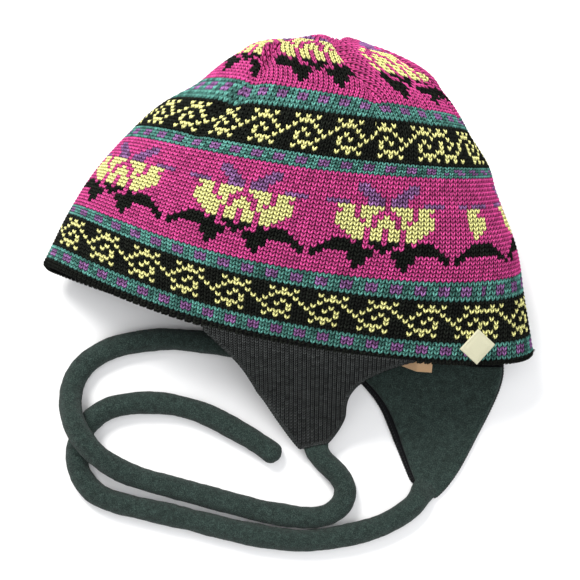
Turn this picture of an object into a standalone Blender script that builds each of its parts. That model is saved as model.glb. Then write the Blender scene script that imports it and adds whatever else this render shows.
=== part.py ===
"""Knitted earflap hat (chullo) lying on its side on a flat surface.

+X points to the back of the head, +Y to the crown and +Z up. The wearer's left
ear is on top. The origin is on the surface, at the middle of the mouth's line.
"""
import math

import bmesh
import bpy
from mathutils import Matrix, Vector

# Driving sizes, in metres
RIM_HALF_WIDTH = 0.1232
CROWN_REACH = 0.131
LYING_HEIGHT = 0.0945
CLEARANCE = 0.0003
KNIT_WALL = 0.0022
FLEECE_WALL = 0.0016
HEM_HEIGHT = 0.0042
BAND_DEPTH = 0.060
DART_DEPTH = 0.0050
DART_WIDTH = 0.0040
POLE_DIMPLE = 0.0018
FLAP_KNIT_WALL = 0.0018
FLAP_FLEECE_WALL = 0.0018
FLEECE_INSET = 0.0030
FLEECE_ROOT_SETBACK = 0.0015
FLAP_SEAM_GAP = 0.0006
LEFT_FLAP_REACH = 0.0400
LEFT_FLAP_LEAN = 0.0125
LEFT_FLAP_BOW = -0.0150
LEFT_TIP_HEIGHT = 0.0100
RIGHT_FLAP_REACH = 0.0655
RIGHT_FLAP_LEAN = 0.0115
RIGHT_FLAP_BOW = 0.0170
RIGHT_TIP_HEIGHT = 0.0
FLAP_HANDLE_LENGTH = 0.0200
LEFT_TIP_TURN = 22.0
RIGHT_TIP_TURN = -25.0
TIE_DIAMETER = 0.011
LABEL_SIDE = 0.0130
LABEL_THICKNESS = 0.0008
LABEL_ABOVE_RIM = 0.0065
LABEL_LIFT = 0.0005
CARE_WIDTH = 0.0150
CARE_THICKNESS = 0.0010
CARE_LENGTH = 0.0200
CARE_BELOW_RIM = 0.0130
CARE_CURL = 0.0040

# Angles round a section: 0 is the back edge, 90 the top, 180 the front edge
LEFT_FLAP_FROM = 61.0
LEFT_FLAP_TO = 107.0
RIGHT_FLAP_FROM = -26.0
RIGHT_FLAP_TO = -83.0
LABEL_ANGLE = 39.6
CARE_ANGLE = 57.0
SIDE_COUNT = 64
LABEL_STEPS = 4

# Small steps for a surface's directions, and the last climbs where they are read
CLIMB_STEP = 0.004
DEGREE_STEP = 1.5
LAST_SLOPE_CLIMB = 0.99
LAST_DART_CLIMB = 0.97

# How full the upper wall is, and how the lower wall flattens on the surface
UPPER_POWER = 0.92
LOWER_POWER = 0.70
LOWER_PRESS_SHARE = 1.35
FRONT_SAG_POWER = 2.0
BACK_SAG_POWER = 1.1

# Length of a line from the rim to the crown, as a share of CROWN_REACH
MERIDIAN_SHARE = 1.43

# Sections from the rim to the crown. half and lean are shares of RIM_HALF_WIDTH,
# the three y columns of CROWN_REACH and the three z columns of LYING_HEIGHT.
SECTION_COLUMNS = ("climb", "half", "lean", "side_y", "side_z", "top_y", "top_z", "low_y", "low_z")
SECTIONS = (
    (0.000, 1.000, -0.002, -0.008, 0.210, -0.190, 0.590, -0.090, 0.000),
    (0.130, 0.935, -0.006, 0.162, 0.275, -0.040, 0.770, 0.080, 0.000),
    (0.290, 0.857, 0.002, 0.337, 0.340, 0.141, 0.910, 0.280, 0.000),
    (0.465, 0.729, 0.009, 0.527, 0.390, 0.358, 0.995, 0.500, 0.000),
    (0.545, 0.664, 0.026, 0.616, 0.410, 0.471, 1.000, 0.600, 0.000),
    (0.622, 0.564, 0.042, 0.704, 0.425, 0.595, 0.979, 0.700, 0.010),
    (0.678, 0.513, 0.043, 0.764, 0.434, 0.669, 0.942, 0.770, 0.030),
    (0.733, 0.467, 0.042, 0.813, 0.444, 0.744, 0.889, 0.830, 0.070),
    (0.778, 0.419, 0.040, 0.854, 0.455, 0.809, 0.836, 0.875, 0.115),
    (0.822, 0.371, 0.043, 0.899, 0.466, 0.866, 0.778, 0.915, 0.180),
    (0.867, 0.278, 0.055, 0.935, 0.476, 0.912, 0.714, 0.945, 0.260),
    (0.922, 0.150, 0.040, 0.970, 0.480, 0.965, 0.620, 0.975, 0.360),
    (1.000, 0.000, 0.020, 1.000, 0.485, 1.000, 0.485, 1.000, 0.485),
)
SHELL_CLIMBS = (0.0, 0.06, 0.13, 0.21, 0.29, 0.38, 0.465, 0.545, 0.60, 0.65, 0.69, 0.73,
                0.765, 0.80, 0.83, 0.86, 0.89, 0.92, 0.95, 0.98)
BAND_STEPS = 6

# Darts of the crown: angle where each starts and where it reaches the crown
DART_COLUMNS = ("start_angle", "crown_angle")
DARTS = (
    (66.0, 112.0),
    (122.0, 178.0),
    (181.0, 236.0),
    (247.0, 293.0),
    (304.0, 358.0),
    (4.0, 60.0),
)
DART_START_SHARE = 0.60
DART_FULL_SHARE = 0.84
DART_FADE_SHARE = 0.14
DART_END_SHARE = 0.35

# Flap outline: how far down, and the half width there as a share of the root's
FLAP_OUTLINE_COLUMNS = ("down", "half_width")
FLAP_OUTLINE = (
    (0.00, 1.00),
    (0.18, 0.79),
    (0.32, 0.64),
    (0.46, 0.52),
    (0.60, 0.43),
    (0.75, 0.35),
    (0.88, 0.265),
    (0.96, 0.195),
    (1.00, 0.15),
)
FLAP_ACROSS = 12
FLAP_DOWN = 12
# How far the tip's handle rises, as a share of the flap's height
TIP_RISE_SHARE = 0.22
# The root's slant and curve fade out down the flap, and the tip turns below this share
ROOT_SLANT_SHARE = 0.667
ROOT_CURVE_SHARE = 0.833
TIP_TURN_SHARE = 0.5
LEAST_WIDTH_SHARE = 0.1
FLAP_SLOPE_SHARE = 0.02

# Tie routes, in metres, chosen along the ties as they lie
TIE_LEFT_ROUTE = (
    (0.0272, -0.0712, 0.0084), (0.0312, -0.0744, 0.0072), (0.0360, -0.0775, 0.0062),
    (0.0404, -0.0808, 0.0057), (0.0438, -0.0852, 0.0056), (0.0446, -0.0903, 0.0056),
    (0.0430, -0.0953, 0.0056), (0.0391, -0.0995, 0.0056), (0.0343, -0.1020, 0.0056),
    (0.0293, -0.1034, 0.0056), (0.0231, -0.1041, 0.0056), (0.0120, -0.1045, 0.0056),
    (0.0040, -0.1044, 0.0056), (-0.0160, -0.1029, 0.0056), (-0.0365, -0.1012, 0.0058),
    (-0.0543, -0.0998, 0.0075), (-0.0665, -0.0976, 0.0110), (-0.0774, -0.0934, 0.0160),
    (-0.0864, -0.0870, 0.0180), (-0.0936, -0.0786, 0.0164), (-0.0982, -0.0692, 0.0110),
    (-0.0994, -0.0588, 0.0066), (-0.0959, -0.0490, 0.0056), (-0.0886, -0.0412, 0.0056),
    (-0.0786, -0.0352, 0.0056), (-0.0600, -0.0290, 0.0056), (-0.0410, -0.0268, 0.0056),
    (-0.0280, -0.0264, 0.0056), (-0.0127, -0.0264, 0.0056), (0.0010, -0.0266, 0.0056),
)
TIE_RIGHT_ROUTE = (
    (0.0836, -0.0811, 0.0058), (0.0780, -0.0896, 0.0056), (0.0662, -0.0998, 0.0056),
    (0.0494, -0.1083, 0.0056), (0.0286, -0.1149, 0.0056), (0.0068, -0.1165, 0.0056),
    (-0.0135, -0.1159, 0.0056), (-0.0339, -0.1147, 0.0056), (-0.0525, -0.1140, 0.0056),
    (-0.0691, -0.1129, 0.0056), (-0.0790, -0.1098, 0.0056), (-0.0867, -0.1028, 0.0056),
    (-0.0906, -0.0932, 0.0056), (-0.0902, -0.0828, 0.0056), (-0.0854, -0.0736, 0.0056),
    (-0.0768, -0.0668, 0.0056), (-0.0626, -0.0622, 0.0056), (-0.0471, -0.0606, 0.0056),
    (-0.0314, -0.0623, 0.0056), (-0.0152, -0.0670, 0.0056), (-0.0015, -0.0721, 0.0056),
    (0.0094, -0.0773, 0.0056),
)
TIE_POINT_SPACING = 0.0058

# Colours and roughness of the materials
LOOKS = {
    "jacquard": ((0.58, 0.03, 0.20), 0.90),
    "black_knit": ((0.012, 0.012, 0.013), 0.92),
    "fleece": ((0.028, 0.045, 0.040), 0.97),
    "label_cream": ((0.75, 0.74, 0.45), 0.70),
    "label_tan": ((0.50, 0.30, 0.12), 0.45),
}


def clear_scene():
    for item in list(bpy.data.objects):
        bpy.data.objects.remove(item, do_unlink=True)


def smooth_step(share):
    share = min(1.0, max(0.0, share))
    return share * share * (3.0 - 2.0 * share)


def hermite(table, column, position):
    """Read a column of a table with a smooth curve through its rows."""
    last = len(table) - 1
    index = 0
    while index < last - 1 and position > table[index + 1][0]:
        index += 1

    def slope(row):
        low = max(0, row - 1)
        high = min(last, row + 1)
        return (table[high][column] - table[low][column]) / (table[high][0] - table[low][0])

    start, end = table[index], table[index + 1]
    width = end[0] - start[0]
    if position < start[0]:
        return start[column] + slope(index) * (position - start[0])
    share = (position - start[0]) / width
    square, cube = share ** 2, share ** 3
    return ((2 * cube - 3 * square + 1) * start[column]
            + (cube - 2 * square + share) * width * slope(index)
            + (3 * square - 2 * cube) * end[column]
            + (cube - square) * width * slope(index + 1))


def section(climb):
    values = {}
    for column, name in enumerate(SECTION_COLUMNS[1:], start=1):
        values[name] = hermite(SECTIONS, column, climb)
    for name in ("half", "lean"):
        values[name] *= RIM_HALF_WIDTH
    for name in ("side_y", "top_y", "low_y"):
        values[name] *= CROWN_REACH
    for name in ("side_z", "top_z", "low_z"):
        values[name] *= LYING_HEIGHT
    return values


def smooth_point(climb, degrees):
    """A point of the shell's outer face before its darts are pressed in."""
    part = section(climb)
    angle = math.radians(degrees)
    across, rise = math.cos(angle), math.sin(angle)
    height = abs(rise)
    x = part["lean"] + part["half"] * across
    sag = height ** (FRONT_SAG_POWER if across < 0.0 else BACK_SAG_POWER)
    if rise >= 0.0:
        y = part["side_y"] + (part["top_y"] - part["side_y"]) * sag
        z = part["side_z"] + (part["top_z"] - part["side_z"]) * height ** UPPER_POWER
    else:
        pressed = min(1.0, LOWER_PRESS_SHARE * height ** LOWER_POWER)
        y = part["side_y"] + (part["low_y"] - part["side_y"]) * sag
        z = part["side_z"] + (max(0.0, part["low_z"]) - part["side_z"]) * pressed
    return Vector((x, y, z))


def slopes(surface, climb, degrees):
    """Directions towards the crown and round the section, with a small step."""
    low = min(max(climb, 0.0), LAST_SLOPE_CLIMB)
    towards = surface(low + CLIMB_STEP, degrees) - surface(low - CLIMB_STEP, degrees)
    around = surface(low, degrees + DEGREE_STEP) - surface(low, degrees - DEGREE_STEP)
    return towards.normalized(), around.normalized()


def outward(surface, climb, degrees):
    towards, around = slopes(surface, climb, degrees)
    return towards.cross(around).normalized()


def dart_press(climb, degrees):
    """Depth of the darts' valleys at a point."""
    strength = smooth_step((climb - DART_START_SHARE) / (DART_FULL_SHARE - DART_START_SHARE))
    if strength == 0.0:
        return 0.0
    half = section(min(climb, LAST_DART_CLIMB))["half"]
    share = (climb - DART_START_SHARE) / (1.0 - DART_START_SHARE)
    depth = 0.0
    for start_angle, crown_angle in DARTS:
        centre = start_angle + (crown_angle - start_angle) * share
        turn = (degrees - centre + 180.0) % 360.0 - 180.0
        distance = math.radians(turn) * half
        depth = max(depth, math.exp(-(distance / DART_WIDTH) ** 2))
    fade = smooth_step((1.0 - climb) / DART_FADE_SHARE)
    return DART_DEPTH * strength * depth * (DART_END_SHARE + (1.0 - DART_END_SHARE) * fade)


def shell_point(climb, degrees):
    point = smooth_point(climb, degrees)
    return point - outward(smooth_point, climb, degrees) * dart_press(climb, degrees)


def wall_point(climb, degrees, depth):
    """A point at a depth inside the shell's outer face."""
    return shell_point(climb, degrees) - outward(smooth_point, climb, degrees) * depth


def rim_point(degrees, below, depth):
    """A point below the rim, in line with the wall there."""
    towards, _ = slopes(smooth_point, 0.0, degrees)
    return wall_point(0.0, degrees, depth) - towards * below


def around_angles():
    return [360.0 * index / SIDE_COUNT for index in range(SIDE_COUNT)]


def finish_mesh(name, mesh_builder, look):
    """Turn a bmesh into a named object with its own material."""
    bmesh.ops.recalc_face_normals(mesh_builder, faces=mesh_builder.faces[:])
    mesh = bpy.data.meshes.new(name)
    mesh_builder.to_mesh(mesh)
    mesh_builder.free()
    mesh.shade_smooth()
    mesh.set_sharp_from_angle(angle=math.radians(50.0))
    item = bpy.data.objects.new(name, mesh)
    bpy.context.scene.collection.objects.link(item)
    mesh.materials.append(make_material(name, look))
    return item


def make_material(name, look):
    colour, roughness = LOOKS[look]
    material = bpy.data.materials.new(name)
    material.use_nodes = True
    shader = material.node_tree.nodes["Principled BSDF"]
    shader.inputs["Base Color"].default_value = (*colour, 1.0)
    shader.inputs["Roughness"].default_value = roughness
    shader.inputs["Metallic"].default_value = 0.0
    return material


def join_rings(builder, lower, upper):
    """Faces between two rings of vertices; a ring of one vertex is a pole."""
    count = max(len(lower), len(upper))
    for index in range(count):
        after = (index + 1) % count
        if len(lower) == 1:
            builder.faces.new((lower[0], upper[after], upper[index]))
        elif len(upper) == 1:
            builder.faces.new((lower[index], lower[after], upper[0]))
        else:
            builder.faces.new((lower[index], lower[after], upper[after], upper[index]))


def loft(name, rings, look, joined):
    """A body through rings of points; joined closes the last ring to the first."""
    builder = bmesh.new()
    loops = [[builder.verts.new(point) for point in ring] for ring in rings]
    for lower, upper in zip(loops, loops[1:]):
        join_rings(builder, lower, upper)
    if joined:
        join_rings(builder, loops[-1], loops[0])
    return finish_mesh(name, builder, look)


def plate(name, upper_grid, lower_grid, look):
    """A thin body between two grids of points of the same size."""
    builder = bmesh.new()
    upper = [[builder.verts.new(point) for point in row] for row in upper_grid]
    lower = [[builder.verts.new(point) for point in row] for row in lower_grid]
    rows, columns = len(upper), len(upper[0])
    for row in range(rows - 1):
        for column in range(columns - 1):
            for side in (upper, lower):
                builder.faces.new((side[row][column], side[row][column + 1],
                                   side[row + 1][column + 1], side[row + 1][column]))
    border = [(0, column) for column in range(columns)]
    border += [(row, columns - 1) for row in range(1, rows)]
    border += [(rows - 1, column) for column in range(columns - 2, -1, -1)]
    border += [(row, 0) for row in range(rows - 2, 0, -1)]
    for here, after in zip(border, border[1:] + border[:1]):
        builder.faces.new((upper[here[0]][here[1]], upper[after[0]][after[1]],
                           lower[after[0]][after[1]], lower[here[0]][here[1]]))
    return finish_mesh(name, builder, look)


def make_shell():
    angles = around_angles()
    outer = [[shell_point(climb, angle) for angle in angles] for climb in SHELL_CLIMBS]
    inner = [[wall_point(climb, angle, KNIT_WALL) for angle in angles] for climb in SHELL_CLIMBS]
    crown = smooth_point(1.0, 0.0)
    outer_pole = [crown - Vector((0.0, POLE_DIMPLE, 0.0))]
    inner_pole = [outer_pole[0] - Vector((0.0, KNIT_WALL, 0.0))]
    rings = [inner_pole] + inner[::-1] + outer + [outer_pole]
    return loft("knit_shell", rings, "jacquard", joined=False)


def make_rim_facing():
    """A turned hem that closes the rim from the shell's face to the lining's."""
    depth = KNIT_WALL + CLEARANCE + FLEECE_WALL
    corners = ((CLEARANCE, 0.0), (CLEARANCE + HEM_HEIGHT, 0.0),
               (CLEARANCE + HEM_HEIGHT, depth), (CLEARANCE, depth))
    rings = [[rim_point(angle, below, inside) for angle in around_angles()]
             for below, inside in corners]
    return loft("rim_facing", rings, "black_knit", joined=True)


def make_fleece_band():
    face = KNIT_WALL + CLEARANCE
    top_climb = BAND_DEPTH / (CROWN_REACH * MERIDIAN_SHARE)
    climbs = [top_climb * step / BAND_STEPS for step in range(BAND_STEPS + 1)]
    outer = [[wall_point(climb, angle, face) for angle in around_angles()] for climb in climbs]
    inner = [[wall_point(climb, angle, face + FLEECE_WALL) for angle in around_angles()]
             for climb in climbs]
    return loft("fleece_band", outer + inner[::-1], "fleece", joined=True)


def flap_surface(first_angle, last_angle, reach, lean, bow, tip_height, tip_turn):
    """A function that gives a flap's outer face and its normal.

    across runs from -1 to 1 and down from 0 at the rim to 1 at the tip.
    """
    root_drop = CLEARANCE + HEM_HEIGHT + FLAP_SEAM_GAP
    middle_angle = (first_angle + last_angle) / 2.0
    middle = rim_point(middle_angle, root_drop, 0.0)
    towards, _ = slopes(smooth_point, 0.0, middle_angle)
    tip = Vector((middle.x + lean, middle.y - reach, tip_height))
    first_handle = middle - towards * FLAP_HANDLE_LENGTH + Vector((bow, 0.0, 0.0))
    second_handle = tip + Vector((0.0, FLAP_HANDLE_LENGTH, (middle.z - tip.z) * TIP_RISE_SHARE))

    def centre(down):
        back = 1.0 - down
        return (middle * back ** 3 + first_handle * 3.0 * back ** 2 * down
                + second_handle * 3.0 * back * down ** 2 + tip * down ** 3)

    def face(across, down):
        angle = middle_angle + (first_angle - middle_angle) * -across
        spread = rim_point(angle, root_drop, 0.0) - middle
        narrow = hermite(FLAP_OUTLINE, 1, down)
        level = spread.copy()
        slant = 1.0 - smooth_step(down / ROOT_SLANT_SHARE)
        level.y *= slant / max(narrow, LEAST_WIDTH_SHARE)
        level.z *= 1.0 - smooth_step(down / ROOT_CURVE_SHARE)
        turned = smooth_step((down - TIP_TURN_SHARE) / (1.0 - TIP_TURN_SHARE))
        level.rotate(Matrix.Rotation(math.radians(tip_turn) * turned, 3, "Z"))
        return centre(down) + level * narrow

    return face


def flap_grids(face, setback, inset, near_depth, far_depth):
    """Upper and lower grids of a flap's layer, at two depths under its outer face."""
    step = FLAP_SLOPE_SHARE

    def normal(across, down):
        low, high = max(down - step, 0.0), min(down + step, 1.0)
        side = face(min(across + step, 1.0), down) - face(max(across - step, -1.0), down)
        fall = face(across, high) - face(across, low)
        return side.cross(fall).normalized()

    near_grid, far_grid = [], []
    width = (face(1.0, 0.0) - face(-1.0, 0.0)).length / 2.0
    length = (face(0.0, 1.0) - face(0.0, 0.0)).length
    for row in range(FLAP_DOWN + 1):
        down = (setback + (length - inset - setback) * row / FLAP_DOWN) / length
        near_row, far_row = [], []
        half = width * hermite(FLAP_OUTLINE, 1, down)
        limit = 1.0 - inset / half
        for column in range(FLAP_ACROSS + 1):
            across = (2.0 * column / FLAP_ACROSS - 1.0) * limit
            point, direction = face(across, down), normal(across, down)
            near_row.append(point + direction * near_depth)
            far_row.append(point + direction * far_depth)
        near_grid.append(near_row)
        far_grid.append(far_row)
    return near_grid, far_grid


def make_flap(side, first_angle, last_angle, reach, lean, bow, tip_height, tip_turn, turned):
    face = flap_surface(first_angle, last_angle, reach, lean, bow, tip_height, tip_turn)
    sign = 1.0 if turned else -1.0
    knit = flap_grids(face, 0.0, 0.0, 0.0, sign * FLAP_KNIT_WALL)
    plate("flap_" + side + "_knit", knit[0], knit[1], "black_knit")
    start = FLAP_KNIT_WALL + CLEARANCE
    fleece = flap_grids(face, FLEECE_ROOT_SETBACK, FLEECE_INSET, sign * start,
                        sign * (start + FLAP_FLEECE_WALL))
    plate("flap_" + side + "_fleece", fleece[0], fleece[1], "fleece")


def make_tie(name, route):
    """A fleece tie: a tube along a smooth curve through its route."""
    points = [Vector(point) for point in route]
    smooth = []
    last = len(points) - 1
    for index in range(last):
        before, after = points[max(index - 1, 0)], points[min(index + 2, last)]
        start, end = points[index], points[index + 1]
        steps = max(1, round((end - start).length / TIE_POINT_SPACING))
        for step in range(steps):
            share = step / steps
            square, cube = share ** 2, share ** 3
            smooth.append(0.5 * (2.0 * start + (end - before) * share
                                 + (2.0 * before - 5.0 * start + 4.0 * end - after) * square
                                 + (3.0 * start - before - 3.0 * end + after) * cube))
    smooth.append(points[-1])
    curve = bpy.data.curves.new(name, "CURVE")
    curve.dimensions = "3D"
    curve.bevel_depth = TIE_DIAMETER / 2.0
    curve.bevel_resolution = 3
    curve.render_resolution_u = 0
    curve.use_fill_caps = True
    spline = curve.splines.new("POLY")
    spline.points.add(len(smooth) - 1)
    for target, point in zip(spline.points, smooth):
        target.co = (*point, 1.0)
    curve.materials.append(make_material(name, "fleece"))
    item = bpy.data.objects.new(name, curve)
    bpy.context.scene.collection.objects.link(item)
    return item


def make_label():
    """A square tab set on its corner at the centre back of the rim.

    It lies straight, a little above the wall that curves away from it.
    """
    centre = rim_point(LABEL_ANGLE, -LABEL_ABOVE_RIM, 0.0)
    towards, around = slopes(smooth_point, 0.0, LABEL_ANGLE)
    normal = outward(smooth_point, 0.0, LABEL_ANGLE)
    rise = (towards + around).normalized() * LABEL_SIDE / 2.0
    side = (towards - around).normalized() * LABEL_SIDE / 2.0
    steps = [2.0 * step / LABEL_STEPS - 1.0 for step in range(LABEL_STEPS + 1)]
    bottom, top = [], []
    for first in steps:
        bottom_row, top_row = [], []
        for second in steps:
            point = centre + rise * first + side * second + normal * LABEL_LIFT
            bottom_row.append(point)
            top_row.append(point + normal * LABEL_THICKNESS)
        bottom.append(bottom_row)
        top.append(top_row)
    return plate("label_tab", top, bottom, "label_cream")


def make_care_label():
    """A folded satin loop that hangs from the lining at the mouth."""
    depth = KNIT_WALL + 2.0 * CLEARANCE + FLEECE_WALL
    towards, around = slopes(smooth_point, 0.0, CARE_ANGLE)
    normal = outward(smooth_point, 0.0, CARE_ANGLE)
    root = rim_point(CARE_ANGLE, CARE_BELOW_RIM - CARE_LENGTH, depth)
    upper, lower = [], []
    for row in range(LABEL_STEPS + 1):
        share = row / LABEL_STEPS
        middle = root - towards * CARE_LENGTH * share - normal * CARE_CURL * share ** 2
        upper.append([middle + around * CARE_WIDTH * (column / LABEL_STEPS - 0.5)
                      for column in range(LABEL_STEPS + 1)])
        lower.append([point - normal * CARE_THICKNESS for point in upper[-1]])
    return plate("care_label", upper, lower, "label_tan")


def build():
    clear_scene()
    make_shell()
    make_rim_facing()
    make_fleece_band()
    make_flap("left", LEFT_FLAP_FROM, LEFT_FLAP_TO, LEFT_FLAP_REACH, LEFT_FLAP_LEAN,
              LEFT_FLAP_BOW, LEFT_TIP_HEIGHT, LEFT_TIP_TURN, turned=False)
    make_flap("right", RIGHT_FLAP_FROM, RIGHT_FLAP_TO, RIGHT_FLAP_REACH, RIGHT_FLAP_LEAN,
              RIGHT_FLAP_BOW, RIGHT_TIP_HEIGHT, RIGHT_TIP_TURN, turned=True)
    make_tie("tie_left", TIE_LEFT_ROUTE)
    make_tie("tie_right", TIE_RIGHT_ROUTE)
    make_label()
    make_care_label()


build()
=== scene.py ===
# %% [markdown]
# # A knitted earflap hat, lying on its side
#
# The hat is a tube of banded jacquard knitting, closed by darts at the crown. It lies
# on its right side. Two ear flaps hang from its rim, and each ends in a fleece tie.
# This lesson builds it piece by piece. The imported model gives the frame: every
# new piece lies where a piece of that model lies.
#
# Before each step a cell of text says what the piece is on the real hat, how it could
# be made, and why it is made this way.

# %% Load the frame
import math

import bmesh
import bpy
import numpy as np
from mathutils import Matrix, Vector, noise


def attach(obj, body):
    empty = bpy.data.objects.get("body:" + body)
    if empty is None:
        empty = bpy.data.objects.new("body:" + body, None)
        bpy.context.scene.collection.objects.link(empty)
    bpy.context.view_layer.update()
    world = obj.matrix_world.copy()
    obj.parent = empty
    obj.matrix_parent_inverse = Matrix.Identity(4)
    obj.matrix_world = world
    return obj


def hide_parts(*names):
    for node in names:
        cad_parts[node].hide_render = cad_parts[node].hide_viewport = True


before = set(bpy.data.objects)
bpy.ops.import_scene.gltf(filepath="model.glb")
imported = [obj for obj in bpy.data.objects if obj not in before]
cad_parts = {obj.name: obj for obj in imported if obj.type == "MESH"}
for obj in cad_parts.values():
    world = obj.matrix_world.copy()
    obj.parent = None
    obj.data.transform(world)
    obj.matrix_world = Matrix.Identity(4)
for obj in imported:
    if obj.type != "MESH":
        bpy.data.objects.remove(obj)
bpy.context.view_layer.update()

print("nodes:", sorted(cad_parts))

# %% [markdown]
# The photograph looks almost straight down on the hat, which is turned a little
# clockwise on a white table. The camera stands 80 degrees above the table. The
# hat's own axes are the scene's axes, so it is the camera that is turned.
# Three large squares light it, because a small lamp would draw hard shadows round the
# ties, and the photograph has faint ones.

# %% Camera, table and light
CAMERA_TURN = math.radians(10.4)
CAMERA_RISE = math.radians(80.0)
CAMERA_DISTANCE = 0.700
CAMERA_LENS = 87.0
CAMERA_TARGET = Vector((-0.0004, 0.0051, 0.020))
SENSOR_WIDTH = 36.0
NEAREST_VIEW = 0.01
# Each light: name, place, side of the square in metres, power in watts and colour
LIGHTS = (
    ("key_light", (-0.55, 0.60, 0.95), 0.50, 17.5, (1.0, 0.985, 0.96)),
    ("fill_light", (0.85, -0.30, 0.95), 1.00, 7.0, (0.96, 0.98, 1.0)),
    ("top_light", (0.05, -0.15, 1.40), 1.00, 7.0, (1.0, 1.0, 1.0)),
)
SKY_COLOUR = (1.0, 1.0, 1.0, 1.0)
SKY_STRENGTH = 0.55


def place_camera():
    """Create the camera at the photograph's angle, looking at the hat's middle."""
    away = Vector((math.sin(CAMERA_TURN) * math.cos(CAMERA_RISE),
                   -math.cos(CAMERA_TURN) * math.cos(CAMERA_RISE),
                   math.sin(CAMERA_RISE)))
    data = bpy.data.cameras.new("camera")
    data.lens = CAMERA_LENS
    data.sensor_width = SENSOR_WIDTH
    data.clip_start = NEAREST_VIEW
    camera = bpy.data.objects.new("camera", data)
    bpy.context.scene.collection.objects.link(camera)
    camera.location = CAMERA_TARGET + away * CAMERA_DISTANCE
    camera.rotation_euler = away.to_track_quat("Z", "Y").to_euler()
    bpy.context.scene.camera = camera
    return camera


def add_area_light(name, location, size, power, colour):
    """A soft square light that faces the hat."""
    data = bpy.data.lights.new(name, "AREA")
    data.size = size
    data.energy = power
    data.color = colour
    light = bpy.data.objects.new(name, data)
    bpy.context.scene.collection.objects.link(light)
    light.location = location
    light.rotation_euler = Vector(location).to_track_quat("Z", "Y").to_euler()
    return light


place_camera()
for settings in LIGHTS:
    add_area_light(*settings)
world = bpy.data.worlds.new("studio")
world.use_nodes = True
sky = world.node_tree.nodes["Background"]
sky.inputs["Color"].default_value = SKY_COLOUR
sky.inputs["Strength"].default_value = SKY_STRENGTH
bpy.context.scene.world = world
bpy.context.scene.view_settings.view_transform = "Standard"
print("camera at", tuple(round(v, 3) for v in bpy.context.scene.camera.location))

# %% [markdown]
# The hat's surface is a tube of sections. Each section is a flattened ring, and a
# table says how wide and high it is from the rim (climb 0) to the crown (climb 1).
# The surface could be sculpted, but a table of sections can be changed one size at a
# time, and every stitch can ask it where it lies. An angle of 0 is the back edge, 90
# the top as the hat lies, and 180 the front edge.

# %% The hat's sections
RIM_HALF_WIDTH = 0.1232
CROWN_REACH = 0.131
LYING_HEIGHT = 0.0945
CLEARANCE = 0.0003
KNIT_WALL = 0.0022
FLEECE_WALL = 0.0016
HEM_HEIGHT = 0.0042
BAND_DEPTH = 0.060
UPPER_POWER = 0.92
LOWER_POWER = 0.70
LOWER_PRESS = 1.35
FRONT_SAG_POWER = 2.0
BACK_SAG_POWER = 1.1
MERIDIAN_SHARE = 1.43
CLIMB_STEP = 0.004
DEGREE_STEP = 1.5
LAST_SLOPE_CLIMB = 0.99
LEAST_LENGTH = 1e-12
FLOOR_GAP = 0.00005
SECTION_COLUMNS = ("climb", "half", "lean", "side_y", "side_z", "top_y", "top_z", "low_y", "low_z")
SECTIONS = (
    (0.000, 1.000, -0.002, -0.008, 0.210, -0.190, 0.590, -0.090, 0.000),
    (0.130, 0.935, -0.006, 0.162, 0.275, -0.040, 0.770, 0.080, 0.000),
    (0.290, 0.857, 0.002, 0.337, 0.340, 0.141, 0.910, 0.280, 0.000),
    (0.465, 0.729, 0.009, 0.527, 0.390, 0.358, 0.995, 0.500, 0.000),
    (0.545, 0.664, 0.026, 0.616, 0.410, 0.471, 1.000, 0.600, 0.000),
    (0.622, 0.564, 0.042, 0.704, 0.425, 0.595, 0.979, 0.700, 0.010),
    (0.678, 0.513, 0.043, 0.764, 0.434, 0.669, 0.942, 0.770, 0.030),
    (0.733, 0.467, 0.042, 0.813, 0.444, 0.744, 0.889, 0.830, 0.070),
    (0.778, 0.419, 0.040, 0.854, 0.455, 0.809, 0.836, 0.875, 0.115),
    (0.822, 0.371, 0.043, 0.899, 0.466, 0.866, 0.778, 0.915, 0.180),
    (0.867, 0.278, 0.055, 0.935, 0.476, 0.912, 0.714, 0.945, 0.260),
    (0.922, 0.150, 0.040, 0.970, 0.480, 0.965, 0.620, 0.975, 0.360),
    (1.000, 0.000, 0.020, 1.000, 0.485, 1.000, 0.485, 1.000, 0.485),
)


def smooth_step(share):
    """A soft step from 0 to 1, for one number or an array."""
    share = np.clip(share, 0.0, 1.0)
    return share * share * (3.0 - 2.0 * share)


def hermite(table, column, position):
    """Read a column of a table with a smooth curve through its rows."""
    last = len(table) - 1
    index = 0
    while index < last - 1 and position > table[index + 1][0]:
        index += 1

    def slope(row):
        low = max(0, row - 1)
        high = min(last, row + 1)
        return (table[high][column] - table[low][column]) / (table[high][0] - table[low][0])

    start, end = table[index], table[index + 1]
    width = end[0] - start[0]
    if position < start[0]:
        return start[column] + slope(index) * (position - start[0])
    share = (position - start[0]) / width
    square, cube = share ** 2, share ** 3
    return ((2 * cube - 3 * square + 1) * start[column]
            + (cube - 2 * square + share) * width * slope(index)
            + (3 * square - 2 * cube) * end[column]
            + (cube - square) * width * slope(index + 1))


SECTION_CLIMBS = np.linspace(-0.1, 1.0, 1101)


def section_line(name):
    """One size of the sections along the whole hat, in metres."""
    column = SECTION_COLUMNS.index(name)
    scale = {"half": RIM_HALF_WIDTH, "lean": RIM_HALF_WIDTH}.get(name)
    if scale is None:
        scale = CROWN_REACH if name.endswith("_y") else LYING_HEIGHT
    return np.array([hermite(SECTIONS, column, climb) for climb in SECTION_CLIMBS]) * scale


SECTION_LINES = {name: section_line(name) for name in SECTION_COLUMNS[1:]}


def section(climb):
    """The sizes of the rings at one climb or many."""
    return {name: np.interp(climb, SECTION_CLIMBS, line) for name, line in SECTION_LINES.items()}


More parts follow.
